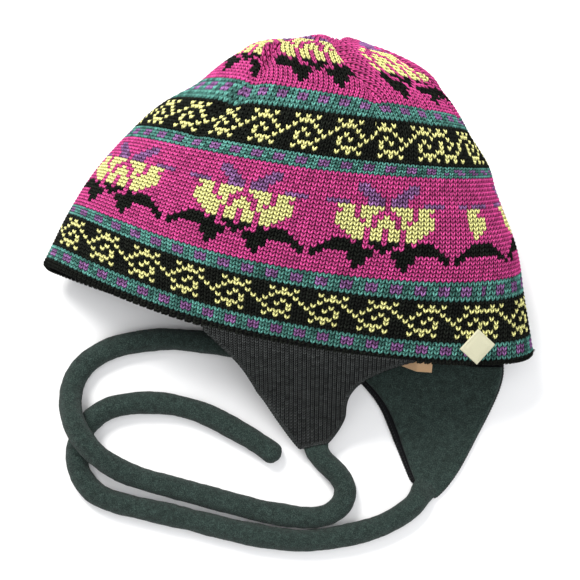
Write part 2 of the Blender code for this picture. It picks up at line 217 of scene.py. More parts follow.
def smooth_ring(climb, degrees):
    """Points of the outer face before its darts are pressed in, one for each angle."""
    part = section(climb)
    angle = np.radians(degrees)
    across, rise = np.cos(angle), np.sin(angle)
    height = np.abs(rise)
    sag = np.where(across < 0.0, height ** FRONT_SAG_POWER, height ** BACK_SAG_POWER)
    pressed = np.minimum(1.0, LOWER_PRESS * height ** LOWER_POWER)
    low_z = np.maximum(0.0, part["low_z"])
    x = part["lean"] + part["half"] * across
    y = part["side_y"] + np.where(rise >= 0.0, part["top_y"] - part["side_y"],
                                  part["low_y"] - part["side_y"]) * sag
    z = part["side_z"] + np.where(rise >= 0.0, (part["top_z"] - part["side_z"]) * height ** UPPER_POWER,
                                  (low_z - part["side_z"]) * pressed)
    return np.stack((x, y, z), axis=-1)


def unit(vectors):
    """Vectors of length 1."""
    return vectors / np.maximum(np.linalg.norm(vectors, axis=-1, keepdims=True), LEAST_LENGTH)


def ring_slopes(climb, degrees):
    """Directions towards the crown and round the section at each angle."""
    low = np.clip(climb, 0.0, LAST_SLOPE_CLIMB)
    towards = smooth_ring(low + CLIMB_STEP, degrees) - smooth_ring(low - CLIMB_STEP, degrees)
    around = smooth_ring(low, degrees + DEGREE_STEP) - smooth_ring(low, degrees - DEGREE_STEP)
    return unit(towards), unit(around)


def ring_outward(climb, degrees):
    """Directions away from the hat's inside at each angle."""
    towards, around = ring_slopes(climb, degrees)
    return unit(np.cross(towards, around))


print("crown at", smooth_ring(1.0, np.array([90.0]))[0].round(4))

# %% [markdown]
# Six darts press valleys into the crown, where the knitting is gathered. Two of them
# face the camera and bend, so each has a table of its own. A seam runs up the back,
# and a soft fold runs down from the front dart. All of them could be modelled as
# grooves, but as depths under the smooth ring they move the stitches too.

# %% Darts, seam and fold
DART_DEPTH = 0.0064
DART_WIDTH = 0.0036
# Angle of each back dart at its start and at the crown
DARTS = ((181.0, 236.0), (247.0, 293.0), (304.0, 358.0), (4.0, 60.0))
# The other two darts and the back seam: climb and angle
TOP_DART = ((0.00, 78.0), (0.50, 73.0), (0.70, 72.0), (0.735, 74.0), (0.768, 79.0),
            (0.804, 85.0), (0.867, 95.0), (0.900, 105.0), (1.00, 118.0))
FRONT_DART = ((0.00, 134.0), (0.50, 130.0), (0.63, 126.0), (0.72, 128.0), (0.82, 138.0),
              (1.00, 178.0))
BACK_SEAM = ((0.00, 38.0), (0.04, 37.0), (0.16, 34.0), (0.33, 36.0), (0.41, 37.0), (0.48, 43.0),
             (0.58, 47.0), (0.67, 46.0), (0.78, 47.0), (1.00, 46.0))
DART_START = 0.60
DART_FULL = 0.80
DART_FADE = 0.14
DART_END_SHARE = 0.35
LAST_DART_CLIMB = 0.97
FOLD_START = 0.40
FOLD_FULL = 0.52
FOLD_DEPTH = 0.0034
FOLD_WIDTH = 0.0050
SEAM_DEPTH = 0.0011
SEAM_WIDTH = 0.0019


def read_line(table, position):
    """Read a two-column table with straight lines between its rows."""
    return np.interp(position, [row[0] for row in table], [row[1] for row in table])


def valley(climb, degrees, centre, width):
    """How far each angle lies in a valley along a line: 1 in its middle, 0 outside."""
    half = section(np.minimum(climb, LAST_DART_CLIMB))["half"]
    turn = (degrees - centre + 180.0) % 360.0 - 180.0
    return np.exp(-(np.radians(turn) * half / width) ** 2)


def dart_press(climb, degrees):
    """Depth of the darts' valleys and of the seam's groove at each angle."""
    strength = smooth_step((climb - DART_START) / (DART_FULL - DART_START))
    share = (climb - DART_START) / (1.0 - DART_START)
    centres = [start_angle + (crown_angle - start_angle) * share for start_angle, crown_angle in DARTS]
    centres += [read_line(TOP_DART, climb), read_line(FRONT_DART, climb)]
    depth = np.max([valley(climb, degrees, centre, DART_WIDTH) for centre in centres], axis=0)
    fade = smooth_step((1.0 - climb) / DART_FADE)
    darts = DART_DEPTH * strength * depth * (DART_END_SHARE + (1.0 - DART_END_SHARE) * fade)
    folded = smooth_step((climb - FOLD_START) / (FOLD_FULL - FOLD_START)) * FOLD_DEPTH
    fold = folded * valley(climb, degrees, read_line(FRONT_DART, climb), FOLD_WIDTH) * (1.0 - strength)
    darts = np.maximum(darts, fold)
    seam = SEAM_DEPTH * valley(climb, degrees, read_line(BACK_SEAM, climb), SEAM_WIDTH) * fade
    return np.maximum(darts, seam)


def wall_ring(climb, degrees, depth):
    """Points at a depth under the outer face, for each angle."""
    degrees = np.asarray(degrees, dtype=float)
    inward = dart_press(climb, degrees) + depth
    return smooth_ring(climb, degrees) - ring_outward(climb, degrees) * inward[..., None]


def rim_ring(degrees, below, depth):
    """Points below the rim, in line with the wall there."""
    degrees = np.asarray(degrees, dtype=float)
    towards, _ = ring_slopes(0.0, degrees)
    return wall_ring(0.0, degrees, np.zeros_like(degrees) + depth) - towards * below


print("depth of a dart's middle:", dart_press(0.8, np.array([read_line(TOP_DART, 0.8)])).round(4))

# %% [markdown]
# Every material is written with a small helper. A `Socket` stands for one output of
# a node, and Python's operators on it add the nodes that do the same sum, so that
# a formula reads as a formula.

# %% Materials
class Socket:
    """An output of a node. Sums of it add Math nodes to its material."""

    def __init__(self, paint, socket):
        self.paint = paint
        self.socket = socket

    def __add__(self, other):
        return self.paint.maths("ADD", self, other)

    def __mul__(self, other):
        return self.paint.maths("MULTIPLY", self, other)

    __radd__ = __add__
    __rmul__ = __mul__


class Paint:
    """A material with one Principled shader, built up from sockets."""

    def __init__(self, name):
        self.material = bpy.data.materials.new(name)
        self.material.use_nodes = True
        self.tree = self.material.node_tree
        self.shader = self.tree.nodes["Principled BSDF"]

    def connect(self, target, value):
        """Feed an input with a socket, a number or a colour."""
        if isinstance(value, Socket):
            self.tree.links.new(value.socket, target)
        elif isinstance(value, (tuple, list)) and len(value) == 3 and target.type == "RGBA":
            target.default_value = (*value, 1.0)
        else:
            target.default_value = value

    def add(self, kind, settings, inputs, output=0):
        """Add any node: its settings first, then its inputs by name or number."""
        node = self.tree.nodes.new(kind)
        for name, value in settings.items():
            setattr(node, name, value)
        for name, value in inputs.items():
            self.connect(node.inputs[name], value)
        return Socket(self, node.outputs[output])

    def maths(self, operation, first, second):
        """Do one sum with two numbers."""
        return self.add("ShaderNodeMath", {"operation": operation}, {0: first, 1: second})

    def mix(self, share, first, second):
        """Blend two colours."""
        return self.add("ShaderNodeMix", {"data_type": "RGBA"}, {0: share, 6: first, 7: second}, 2)

    def shade(self, colour, brightness):
        """Multiply a colour by a number."""
        return self.add("ShaderNodeVectorMath", {"operation": "SCALE"}, {0: colour, "Scale": brightness})

    def span(self, value, low, high, new_low, new_high):
        """Map a range of a value to another range, and clamp it there."""
        return self.add("ShaderNodeMapRange", {"clamp": True},
                        {0: value, 1: low, 2: high, 3: new_low, 4: new_high})

    def place(self):
        """The point's place on the object, in metres."""
        return self.add("ShaderNodeTexCoord", {}, {}, "Object")

    def noise(self, place, scale, detail, roughness):
        """A smooth random pattern, about 0.5 in the mean."""
        return self.add("ShaderNodeTexNoise", {},
                        {"Vector": place, "Scale": scale, "Detail": detail, "Roughness": roughness})

    def bump(self, height, distance):
        """Feed the shader's normal with a relief of this height in metres."""
        normal = self.add("ShaderNodeBump", {}, {"Height": height, "Distance": distance, "Strength": 1.0})
        self.connect(self.shader.inputs["Normal"], normal)

    def attribute(self, name, output):
        """A value that the mesh carries at each vertex or corner."""
        return self.add("ShaderNodeAttribute", {"attribute_name": name}, {}, output)

    def split(self, vector):
        """The first two parts of a vector."""
        node = self.add("ShaderNodeSeparateXYZ", {}, {0: vector}).socket.node
        return Socket(self, node.outputs["X"]), Socket(self, node.outputs["Y"])

    def finish(self, colour, roughness, **constants):
        """Set the colour, the roughness and any fixed inputs, and give the material."""
        self.connect(self.shader.inputs["Base Color"], colour)
        self.connect(self.shader.inputs["Roughness"], roughness)
        for name, value in constants.items():
            self.connect(self.shader.inputs[name.replace("_", " ").title().replace("Ior", "IOR")], value)
        return self.material


print("material helpers ready")

# %% [markdown]
# Yarn is twisted and a little hairy. Its colour comes from each stitch, as an
# attribute of the mesh, and one material then serves all six yarns. The twist is a
# sine along the leg of the stitch, in relief and as painted shade in its grooves, and
# fine noise stands for the loose fibres.
# A painted picture of yarn could be wrapped round it, but it would blur close up.

# %% Yarn
YARN_ROUGHNESS = 0.9
YARN_SHINE = 0.12
PLY_TURNS = 3.0
PLY_RELIEF = 0.00016
# Each noise: scale, detail and roughness
FUZZ = (2600.0, 3.0, 0.65)
MARL = (900.0, 2.0, 0.6)
FULL_TURN = 2.0 * math.pi
BACKING_ROUGHNESS = 0.95


def yarn_material(name):
    """Twisted yarn that takes its colour from each stitch."""
    paint = Paint(name)
    colour = paint.attribute("yarn_colour", "Color")
    turn, line = paint.split(paint.attribute("yarn_line", "Vector"))
    place = paint.place()
    ply = paint.maths("SINE", (line * PLY_TURNS + turn * 2.0) * FULL_TURN, 0.0)
    fuzz = paint.noise(place, *FUZZ)
    paint.bump(ply * 0.5 + fuzz * 1.2, PLY_RELIEF)
    # Painted shade in the twist's grooves, from the ply sine; the two noises vary the tone as loose fibres
    # and marled yarn do
    light = paint.span(ply * 0.3 + fuzz + paint.noise(place, *MARL), 0.6, 1.4, 0.6, 1.35)
    return paint.finish(paint.shade(colour, light), YARN_ROUGHNESS, specular_ior_level=YARN_SHINE)


def backing_material(name):
    """The loops behind the stitches, in the painted shade of their neighbours."""
    paint = Paint(name)
    fuzz = paint.noise(paint.place(), *FUZZ)
    paint.bump(fuzz, PLY_RELIEF)
    light = paint.span(fuzz, 0.3, 0.8, 0.8, 1.1)
    return paint.finish(paint.shade(paint.attribute("yarn_colour", "Color"), light),
                        BACKING_ROUGHNESS, specular_ior_level=YARN_SHINE)


knit_look = yarn_material("knit_yarn")
print("yarn material:", len(knit_look.node_tree.nodes), "nodes")

# %% [markdown]
# The pattern is charted one letter for each stitch, with the row nearest
# the crown first. A full stop is the ground colour of its band. An image could carry
# the pattern, but a chart can be read and changed by anyone who knits.

# %% The charts
SCROLL_CHART = (
    "..Y.Y.Y.",
    "...YYY..",
    "..Y...Y.",
    ".Y..Y..Y",
    "Y..Y.Y..",
    ".Y...Y..",
    "..YYY...",
    ".Y.Y.Y..",
)
FLOWER_CHART = (
    "........................",
    "........................",
    "......PP.......PP.......",
    "......PPP.....PPP.......",
    ".......PPP...PPP........",
    "........PPP.PPP.........",
    ".PPPP...PPP.PPP...PPPP..",
    "...YYY.YYYY.YYYY.YYY....",
    "....YY.YYY...YYY.YY.....",
    "...YYY.YY..Y..YY.YYY....",
    "...YYYY.Y.YYY.Y.YYYY....",
    "...YYYYYY.YYY.YYYYYY....",
    "....YYYY.YY.YY.YYYY.....",
    ".....YYY.YY.YY.YYY......",
    "......YY.YY.YY.YY.......",
    "...KKK.K.KK.KK.K.KKK....",
    "..KKKKKK..KKK..KKKKKK...",
    ".KKKKKKKKK.K.KKKKKKKKK..",
    "KK....KKKK...KKKK....KK.",
    "K.....KKK.....KKK.....K.",
    ".......KK.....KK........",
    ".......K.......K........",
    "........................",
    "........................",
)
DOT_CHART = ("....", "PP..", "PP..", "....")
HIGH_DOT_CHART = ("....", "PP..", "PP..", "....", "....")
PLAIN_CHART = (".",)
MIRRORED_SCROLL_CHART = tuple("".join(line[-place % len(line)] for place in range(len(line)))
                              for line in SCROLL_CHART)

# Each band from the rim up: chart, ground letter, first row, chart place of the
# column at the top dart, and chart place of the first column past the back seam
BAND_COLUMNS = ("chart", "ground", "first_row", "near_place", "far_place")
BANDS = (
    (DOT_CHART, "T", 0, 3.0, 2.0),
    (PLAIN_CHART, "K", 4, 0.0, 0.0),
    (SCROLL_CHART, "K", 5, 6.0, 3.0),
    (PLAIN_CHART, "K", 13, 0.0, 0.0),
    (DOT_CHART, "T", 14, 1.0, 2.0),
    (FLOWER_CHART, "M", 18, 7.0, 17.0),
    (DOT_CHART, "T", 42, 1.0, 2.0),
    (PLAIN_CHART, "K", 46, 0.0, 0.0),
    (MIRRORED_SCROLL_CHART, "K", 47, 2.0, 3.0),
    (PLAIN_CHART, "K", 55, 0.0, 0.0),
    (HIGH_DOT_CHART, "T", 56, 1.0, 2.0),
    (FLOWER_CHART, "M", 61, 1.0, 13.0),
    (PLAIN_CHART, "M", 85, 0.0, 0.0),
)
ROWS = 90
GORES = 6
GORE_COLUMNS = 30
COLUMNS = GORES * GORE_COLUMNS
# Right of the top dart the crown's chart starts again this many columns later
DART_JUMP = 3.0
DART_JUMP_ROW = 61
# A plain strip runs beside each dart
PLAIN_STRIP_ROW = 65
PLAIN_STRIP_COLUMNS = 4.0
# One letter for each yarn: magenta, teal, purple, yellow, black and the grey-black of the flaps
LETTERS = "MTPYKG"
YARN_COLOURS = np.array((
    (0.700, 0.078, 0.305),
    (0.098, 0.290, 0.248),
    (0.300, 0.135, 0.340),
    (0.990, 0.960, 0.385),
    (0.009, 0.011, 0.008),
    (0.062, 0.067, 0.066),
))
# How much the stitches of each yarn differ in brightness, and the least and most of it
STITCH_MARL = np.array((0.14, 0.34, 0.22, 0.06, 0.30, 0.18))
MARL_RANGE = (0.5, 1.6)


def band_at(row):
    """The band that a row belongs to."""
    found = BANDS[0]
    for band in BANDS:
        if band[BAND_COLUMNS.index("first_row")] <= row:
            found = band
    return found


def letters_of_row(row, columns, seam, to_dart):
    """The letter of each column of a row; columns run from -90 to 90, 0 at the top dart."""
    chart, ground, first_row, near_place, far_place = band_at(row)
    line = chart[len(chart) - 1 - (row - first_row) % len(chart)]
    jump = DART_JUMP if row >= DART_JUMP_ROW else 0.0
    near = np.floor(columns + near_place - np.where(columns > 0.0, jump, 0.0)).astype(int) % len(line)
    far = np.floor(columns - seam + far_place).astype(int) % len(line)
    places = np.where(columns < seam, near, far)
    letters = np.array([LETTERS.index(ground if mark == "." else mark) for mark in line])
    plain = (to_dart < PLAIN_STRIP_COLUMNS) & (row >= PLAIN_STRIP_ROW)
    return np.where(plain, LETTERS.index(ground), letters[places])


print("pattern rows:", ROWS, "columns:", COLUMNS)

# %% [markdown]
# The knitted face is measured as a table: six gores between the darts, ninety rows
# and thirty columns to a gore. A column is never narrower than a stitch can be, so
# near the crown the outer columns of a gore vanish into its darts.
# Laying the chart as a picture on the surface would stretch it at the crown. Measured
# in stitches, the pattern keeps its size, as it does in real knitting.

# %% The knitted face
LEAST_STITCH = 0.00245
# The gores' widths at the rim, as shares of an even gore, and the row where they are even
RIM_GORE_SHARES = np.array((1.00, 1.04, 1.05, 1.04, 0.95, 0.92))
EVEN_ROW = 24
RING_SAMPLES = 1440
TINY = 1e-6
LAST_RING_CLIMB = 0.992
# The lowest row may hang a little below the rim, over the hem
LOWEST_CLIMB = -0.014
# How far each row is shifted at the top, down at the front and up at the back, in rows:
# row, middle, front and back
ROW_SHIFT = (
    (0, 0.4, 0.3, -1.2),
    (4, 0.2, 0.8, -0.8),
    (14, -0.4, 1.9, 0.2),
    (18, -0.2, 3.3, 1.6),
    (42, 0.9, 6.2, 3.0),
    (46, 0.2, 5.8, 2.2),
    (56, -0.4, 5.4, 2.2),
    (61, 0.0, 3.6, 0.6),
    (75, 0.0, 0.0, 0.0),
    (90, 0.0, 0.0, 0.0),
)
ROW_FRONT_POWER = 1.6
# The column of the back seam, counted from the top dart
SEAM_COLUMNS = ((0, 24.7), (14, 24.0), (28, 21.5), (34, 20.3), (40, 16.7), (51, 13.3),
                (60, 13.5), (70, 17.8), (90, 17.8))


def row_climbs(row, degrees):
    """Where a row of stitches runs at each angle, as it sags at the front and rises at the back."""
    table = np.array(ROW_SHIFT)
    middle, front, back = (np.interp(row, table[:, 0], table[:, place]) for place in (1, 2, 3))
    across = np.cos(np.radians(degrees))
    shift = middle - front * np.maximum(-across, 0.0) ** ROW_FRONT_POWER + back * np.maximum(across, 0.0)
    return np.clip((row + shift) / ROWS, LOWEST_CLIMB, LAST_RING_CLIMB)


def row_lengths(row, start):
    """Angles once round a row from a start, falling, and the length to each."""
    angles = start - np.linspace(0.0, 360.0, RING_SAMPLES + 1)
    points = smooth_ring(row_climbs(row, angles), angles)
    steps = np.linalg.norm(np.diff(points, axis=0), axis=1)
    return angles, np.concatenate(([0.0], np.cumsum(steps)))


class Fabric:
    """Points and directions of the knitted face by gore, row and share of the gore."""

    def __init__(self):
        self.points = np.zeros((GORES, ROWS + 1, GORE_COLUMNS + 1, 3))
        self.normals = np.zeros_like(self.points)
        self.gore_length = np.zeros((GORES, ROWS + 1))
        self.seam_column = read_line(SEAM_COLUMNS, np.arange(ROWS + 1))
        for row in range(ROWS + 1):
            climb = min(row / ROWS, LAST_RING_CLIMB)
            start = read_line(TOP_DART, climb)
            angles, lengths = row_lengths(row, start)
            even = smooth_step(row / EVEN_ROW)
            shares = (RIM_GORE_SHARES * (1.0 - even) + even) / GORES
            edges = np.concatenate(([0.0], np.cumsum(shares))) * lengths[-1]
            self.gore_length[:, row] = np.diff(edges)
            for gore in range(GORES):
                places = np.linspace(edges[gore], edges[gore + 1], GORE_COLUMNS + 1)
                degrees = np.interp(places, lengths, angles)
                self.points[gore, row] = wall_ring(row_climbs(row, degrees), degrees, 0.0)
                self.normals[gore, row] = ring_outward(row_climbs(row, degrees), degrees)
        self.column_width = np.maximum(self.gore_length / GORE_COLUMNS, LEAST_STITCH)
        self.stretch = self.column_width / np.maximum(self.gore_length, TINY)

    def share(self, gore, row, offset):
        """The share of its gore at a number of columns from its middle."""
        low = np.clip(np.floor(row).astype(int), 0, ROWS - 1)
        part = row - low
        return 0.5 + offset * (self.stretch[gore, low] * (1 - part) + self.stretch[gore, low + 1] * part)

    def read(self, gore, row, share, depth):
        """Points under the face, with straight lines between the table's entries."""
        row_index = np.clip(np.floor(row).astype(int), 0, ROWS - 1)
        row_part = (row - row_index)[..., None]
        place = np.clip(share, 0.0, 1.0) * GORE_COLUMNS
        column_index = np.clip(np.floor(place).astype(int), 0, GORE_COLUMNS - 1)
        column_part = (place - column_index)[..., None]

        def blend(table):
            near = table[gore, row_index, column_index] * (1 - column_part)
            near = near + table[gore, row_index, column_index + 1] * column_part
            far = table[gore, row_index + 1, column_index] * (1 - column_part)
            far = far + table[gore, row_index + 1, column_index + 1] * column_part
            return near * (1 - row_part) + far * row_part

        return blend(self.points) - unit(blend(self.normals)) * depth[..., None]


fabric = Fabric()
print("stitch at the rim:", (fabric.column_width[:, 0] * 1000).round(2), "mm wide")

# %% [markdown]
# One stitch is made once: two tapered legs of yarn that meet below and lean apart
# above. It is measured in shares of its cell, so that the same stitch fits every
# place. The top of a leg passes under the row above. Each leg is a ball that a table
# stretches and bends, and it has only a few faces because it is laid almost nineteen
# thousand times.

# %% One stitch
LEG_SIDES = 3
LEG_RINGS = 4
# A ring of three sides reaches this share of its radius to each side
SIDE_REACH = 0.866
# Along a leg, from its foot to its top: place across and up the cell, half width as
# a share of the cell, height of its middle over the fabric and its thickness in metres
LEG_COLUMNS = ("along", "across", "up", "half_width", "height", "thickness")
LEG_TABLE = (
    (-1.0, 0.47, -0.30, 0.08, -0.00115, 0.0003),
    (-0.7, 0.44, -0.08, 0.19, -0.00060, 0.0006),
    (0.0, 0.28, 0.42, 0.245, -0.00040, 0.0007),
    (0.7, 0.15, 0.90, 0.18, -0.00062, 0.0006),
    (1.0, 0.12, 1.16, 0.08, -0.00120, 0.0003),
)
# Painted shade: the yarn's colour is darkened where it lies deeper, as the gaps between the legs lie in shade
LOW_STITCH = -0.0008
HIGH_STITCH = 0.0002
LOW_SHADE = 0.08


def leg_value(along, name):
    """Read a column of the leg's table."""
    column = LEG_COLUMNS.index(name)
    return float(np.interp(along, [row[0] for row in LEG_TABLE], [row[column] for row in LEG_TABLE]))


class Stitch:
    """The vertices, faces and yarn coordinates of one stitch, read from a bmesh."""

    def __init__(self):
        builder = bmesh.new()
        layer = builder.loops.layers.uv.new("line")
        for side in (-1.0, 1.0):
            leg = bmesh.ops.create_uvsphere(builder, u_segments=LEG_SIDES, v_segments=LEG_RINGS,
                                            radius=1.0, calc_uvs=True)
            for vertex in leg["verts"]:
                self.bend(vertex, side)
        self.vertices = np.array([vertex.co[:] for vertex in builder.verts])
        faces = [[(loop.vert.index, loop[layer].uv[:]) for loop in face.loops] for face in builder.faces]
        # The ball's faces come in another order at each run, so they are sorted
        faces.sort()
        self.faces = [[index for index, _ in face] for face in faces]
        self.lines = np.array([place for face in faces for _, place in face])
        heights = self.vertices[:, 2]
        # Painted shade of each vertex: darker the deeper it lies
        self.shades = np.interp(heights, (LOW_STITCH, HIGH_STITCH), (LOW_SHADE, 1.0))
        builder.free()

    def bend(self, vertex, side):
        """Move a vertex of a ball of radius 1 to its place on a leg."""
        along = vertex.co.z
        radius = max(math.hypot(vertex.co.x, vertex.co.y), TINY)
        middle = 0.5 + side * (0.5 - leg_value(along, "across"))
        width = leg_value(along, "half_width") / radius / SIDE_REACH
        thickness = leg_value(along, "thickness") / radius
        vertex.co = (middle + vertex.co.y * width, leg_value(along, "up"),
                     leg_value(along, "height") + vertex.co.x * thickness)


stitch = Stitch()
print("a stitch has", len(stitch.vertices), "vertices and", len(stitch.faces), "faces")

# %% [markdown]
# Each stitch of the chart is laid on the face. All stitches of some rows become one
# mesh. A colour on every vertex carries the chart, with small changes from stitch to
# stitch, as in marled yarn, and painted shade that darkens the deeper parts of each stitch.
# Thousands of separate objects would be slow, so the meshes are joined from arrays.

# %% Laying stitches
SEED = 7
# A stitch is kept beside a dart while it reaches at most this share of a column past it
DART_REACH = 0.25


class Layer:
    """Many stitches that become one mesh."""

    def __init__(self, template):
        self.template = template
        self.points = []
        self.colours = []

    def add(self, points, colours):
        """Keep the points and the colour of some stitches."""
        self.points.append(points)
        self.colours.append(colours)

    def build(self, name, material):
        """One object from all the stitches, at the origin."""
        points = np.concatenate(self.points)
        colours = np.concatenate(self.colours)
        count = len(points)
        template = self.template
        per_stitch = len(template.vertices)
        points[..., 2] = np.maximum(points[..., 2], FLOOR_GAP)
        sizes = np.array([len(face) for face in template.faces])
        corners = np.concatenate(template.faces)
        loops = (corners[None, :] + np.arange(count)[:, None] * per_stitch).ravel()
        starts = np.concatenate(([0], np.cumsum(np.tile(sizes, count))[:-1]))
        mesh = bpy.data.meshes.new(name)
        mesh.vertices.add(count * per_stitch)
        mesh.vertices.foreach_set("co", points.ravel())
        mesh.loops.add(len(loops))
        mesh.loops.foreach_set("vertex_index", loops)
        mesh.polygons.add(count * len(sizes))
        mesh.polygons.foreach_set("loop_start", starts)
        mesh.update(calc_edges=True)
        mesh.shade_smooth()
        colour_layer = mesh.color_attributes.new("yarn_colour", "FLOAT_COLOR", "POINT")
        painted = np.ones((count, per_stitch, 4))
        # The chart's colour times each vertex's painted shade
        painted[..., :3] = colours[:, None, :] * template.shades[None, :, None]
        colour_layer.data.foreach_set("color", painted.ravel())
        line_layer = mesh.uv_layers.new(name="yarn_line")
        line_layer.uv.foreach_set("vector", np.tile(template.lines, (count, 1)).ravel())
        return add_object(name, mesh, material)


def add_object(name, mesh, material):
    """Put a mesh into the scene with its material."""
    item = bpy.data.objects.new(name, mesh)
    bpy.context.scene.collection.objects.link(item)
    mesh.materials.append(material)
    return item


def dyed(letters, chance):
    """Colours of stitches by their letter, each a little lighter or darker."""
    marl = 1.0 + STITCH_MARL[letters] * chance.standard_normal(len(letters))
    return YARN_COLOURS[letters] * np.clip(marl, *MARL_RANGE)[:, None]


def lay_rows(layer, rows, chance):
    """Lay the stitches of some rows of the knitted face."""
    u, v, height = stitch.vertices.T
    for row in rows:
        seam = fabric.seam_column[row]
        columns = np.arange(COLUMNS)
        gore = columns // GORE_COLUMNS
        offset = columns % GORE_COLUMNS + 0.5 - GORE_COLUMNS / 2
        kept = np.abs(offset) < 0.5 / fabric.stretch[gore, row] + DART_REACH
        gore, offset, columns = gore[kept], offset[kept], columns[kept]
        up = np.full((len(columns), 1), float(row)) + v[None, :]
        gores = np.broadcast_to(gore[:, None], up.shape)
        share = fabric.share(gores, up, offset[:, None] - 0.5 + u[None, :])
        depth = np.broadcast_to(-height, share.shape)
        points = fabric.read(gores, up, share, depth)
        signed = np.where(columns >= COLUMNS // 2, columns - COLUMNS, columns) + 0.5
        to_dart = offset + 0.5 / fabric.stretch[gore, row]
        layer.add(points, dyed(letters_of_row(row, signed, seam, to_dart), chance))


KNIT_PARTS = (
    ("knit_border_lower", 0, 18),
    ("knit_flowers_low", 18, 30),
    ("knit_flowers_high", 30, 42),
    ("knit_border_upper", 42, 61),
    ("knit_crown", 61, 90),
)
stitch_objects = []
for name, first_row, end_row in KNIT_PARTS:
    chance = np.random.default_rng(SEED + first_row)
    layer = Layer(stitch)
    lay_rows(layer, range(first_row, end_row), chance)
    stitch_objects.append(layer.build(name, knit_look))
    print(name, "has", len(stitch_objects[-1].data.polygons), "faces")

# %% [markdown]
# Behind the stitches lies a closed wall. It carries the same chart, darkened as painted
# shade, so that the gaps between the stitches look shaded and no light shows through them.
# A plain black wall would show as dark dots in the pale yarns.

# %% The wall behind the stitches
WALL_OUTER_DEPTH = 0.0009
# The wall's colour is the chart's, darkened by this share as painted shade between the stitches
WALL_SHADE = 0.10


def fabric_rings(depth):
    """The face's rings at a depth, each a closed ring of all the columns."""
    rings = []
    for row in range(ROWS + 1):
        points = fabric.points[:, row, :-1] - fabric.normals[:, row, :-1] * depth
        points[..., 2] = np.maximum(points[..., 2], FLOOR_GAP + depth)
        rings.append(points.reshape(COLUMNS, 3))
    return rings


def wall_letters(row):
    """The letter behind each column of the wall, where the stitches there are cut too."""
    share = (np.arange(COLUMNS) % GORE_COLUMNS + 0.5) / GORE_COLUMNS - 0.5
    gore = np.arange(COLUMNS) // GORE_COLUMNS
    offset = share / fabric.stretch[gore, row]
    columns = gore * GORE_COLUMNS + GORE_COLUMNS / 2 + offset
    signed = np.where(columns >= COLUMNS / 2, columns - COLUMNS, columns)
    to_dart = offset + 0.5 / fabric.stretch[gore, row]
    return letters_of_row(row, signed, fabric.seam_column[row], to_dart)


def build_wall():
    """A closed wall from the rim to the crown, with a colour on every face."""
    outer = fabric_rings(WALL_OUTER_DEPTH)
    inner = fabric_rings(KNIT_WALL)
    builder = bmesh.new()
    outside = [[builder.verts.new(point) for point in ring] for ring in outer]
    inside = [[builder.verts.new(point) for point in ring] for ring in inner]
    colour_layer = builder.loops.layers.float_color.new("yarn_colour")
    for row in range(ROWS):
        letters = wall_letters(row)
        for column in range(COLUMNS):
            after = (column + 1) % COLUMNS
            # Painted shade: the face's chart colour, darkened
            shade = (*(YARN_COLOURS[letters[column]] * WALL_SHADE), 1.0)
            for ring, flipped in ((outside, False), (inside, True)):
                corners = [ring[row][column], ring[row][after], ring[row + 1][after], ring[row + 1][column]]
                face = builder.faces.new(corners[::-1] if flipped else corners)
                face.smooth = True
                for loop in face.loops:
                    loop[colour_layer] = shade
    for column in range(COLUMNS):
        after = (column + 1) % COLUMNS
        builder.faces.new((outside[0][after], outside[0][column], inside[0][column], inside[0][after]))
    builder.faces.new(outside[-1])
    builder.faces.new(inside[-1][::-1])
    mesh = bpy.data.meshes.new("knit_wall")
    builder.to_mesh(mesh)
    builder.free()
    return add_object("knit_wall", mesh, backing_material("knit_backing"))


knit_wall = build_wall()
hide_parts("knit_shell")
for item in stitch_objects + [knit_wall]:
    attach(item, "root")
print("wall faces:", len(knit_wall.data.polygons))

# %% [markdown]
# The rim is bound with black knitting that turns under the edge and meets the
# lining. Its face is a grid of points, and the same stitches are laid on that grid.
# A `Patch` holds such a grid, and the flaps will use it too.

# %% A patch of knitting
RIB_SHARE = 0.88


class Patch:
    """A face given by a grid of points, whose rows run up and columns run right."""

    def __init__(self, points):
        self.points = points
        self.normals = unit(np.cross(np.gradient(points, axis=1), np.gradient(points, axis=0)))

    def read(self, row, column, height):
        """Points at a height over the face, by row and column of the grid."""
        rows, columns = self.points.shape[:2]
        row = np.clip(row, 0.0, rows - 1 - TINY)
        column = np.clip(column, 0.0, columns - 1 - TINY)
        low, left = np.floor(row).astype(int), np.floor(column).astype(int)
        up, right = (row - low)[..., None], (column - left)[..., None]

        def blend(table):
            lower = table[low, left] * (1 - right) + table[low, left + 1] * right
            upper = table[low + 1, left] * (1 - right) + table[low + 1, left + 1] * right
            return lower * (1 - up) + upper * up

        return blend(self.points) + unit(blend(self.normals)) * height[..., None]

    def stitch(self, layer, rows, columns, letter, chance):
        """Lay a stitch on each listed cell of the grid, a little narrower than the cell."""
        u, v, height = layer.template.vertices.T
        u = 0.5 + (u - 0.5) * RIB_SHARE
        row, column = np.asarray(rows, dtype=float), np.asarray(columns, dtype=float)
        points = self.read(row[:, None] + v[None, :], column[:, None] + u[None, :],
                           np.broadcast_to(height, (len(row), len(height))))
        letters = np.full(len(row), LETTERS.index(letter))
        layer.add(points, dyed(letters, chance))


def even_rows(rings, spacing):
    """The same surface as rings, with rows an even distance apart."""
    rings = np.array(rings)
    steps = np.linalg.norm(np.diff(rings, axis=0), axis=2)
    lengths = np.concatenate((np.zeros((1, rings.shape[1])), np.cumsum(steps, axis=0)))
    count = round(float(lengths[-1].mean()) / spacing)
    rows = np.linspace(0.0, 1.0, count + 1)
    even = np.zeros((count + 1, *rings.shape[1:]))
    for place in range(rings.shape[1]):
        shares = lengths[:, place] / lengths[-1, place]
        for axis in range(3):
            even[:, place, axis] = np.interp(rows, shares, rings[:, place, axis])
    return even


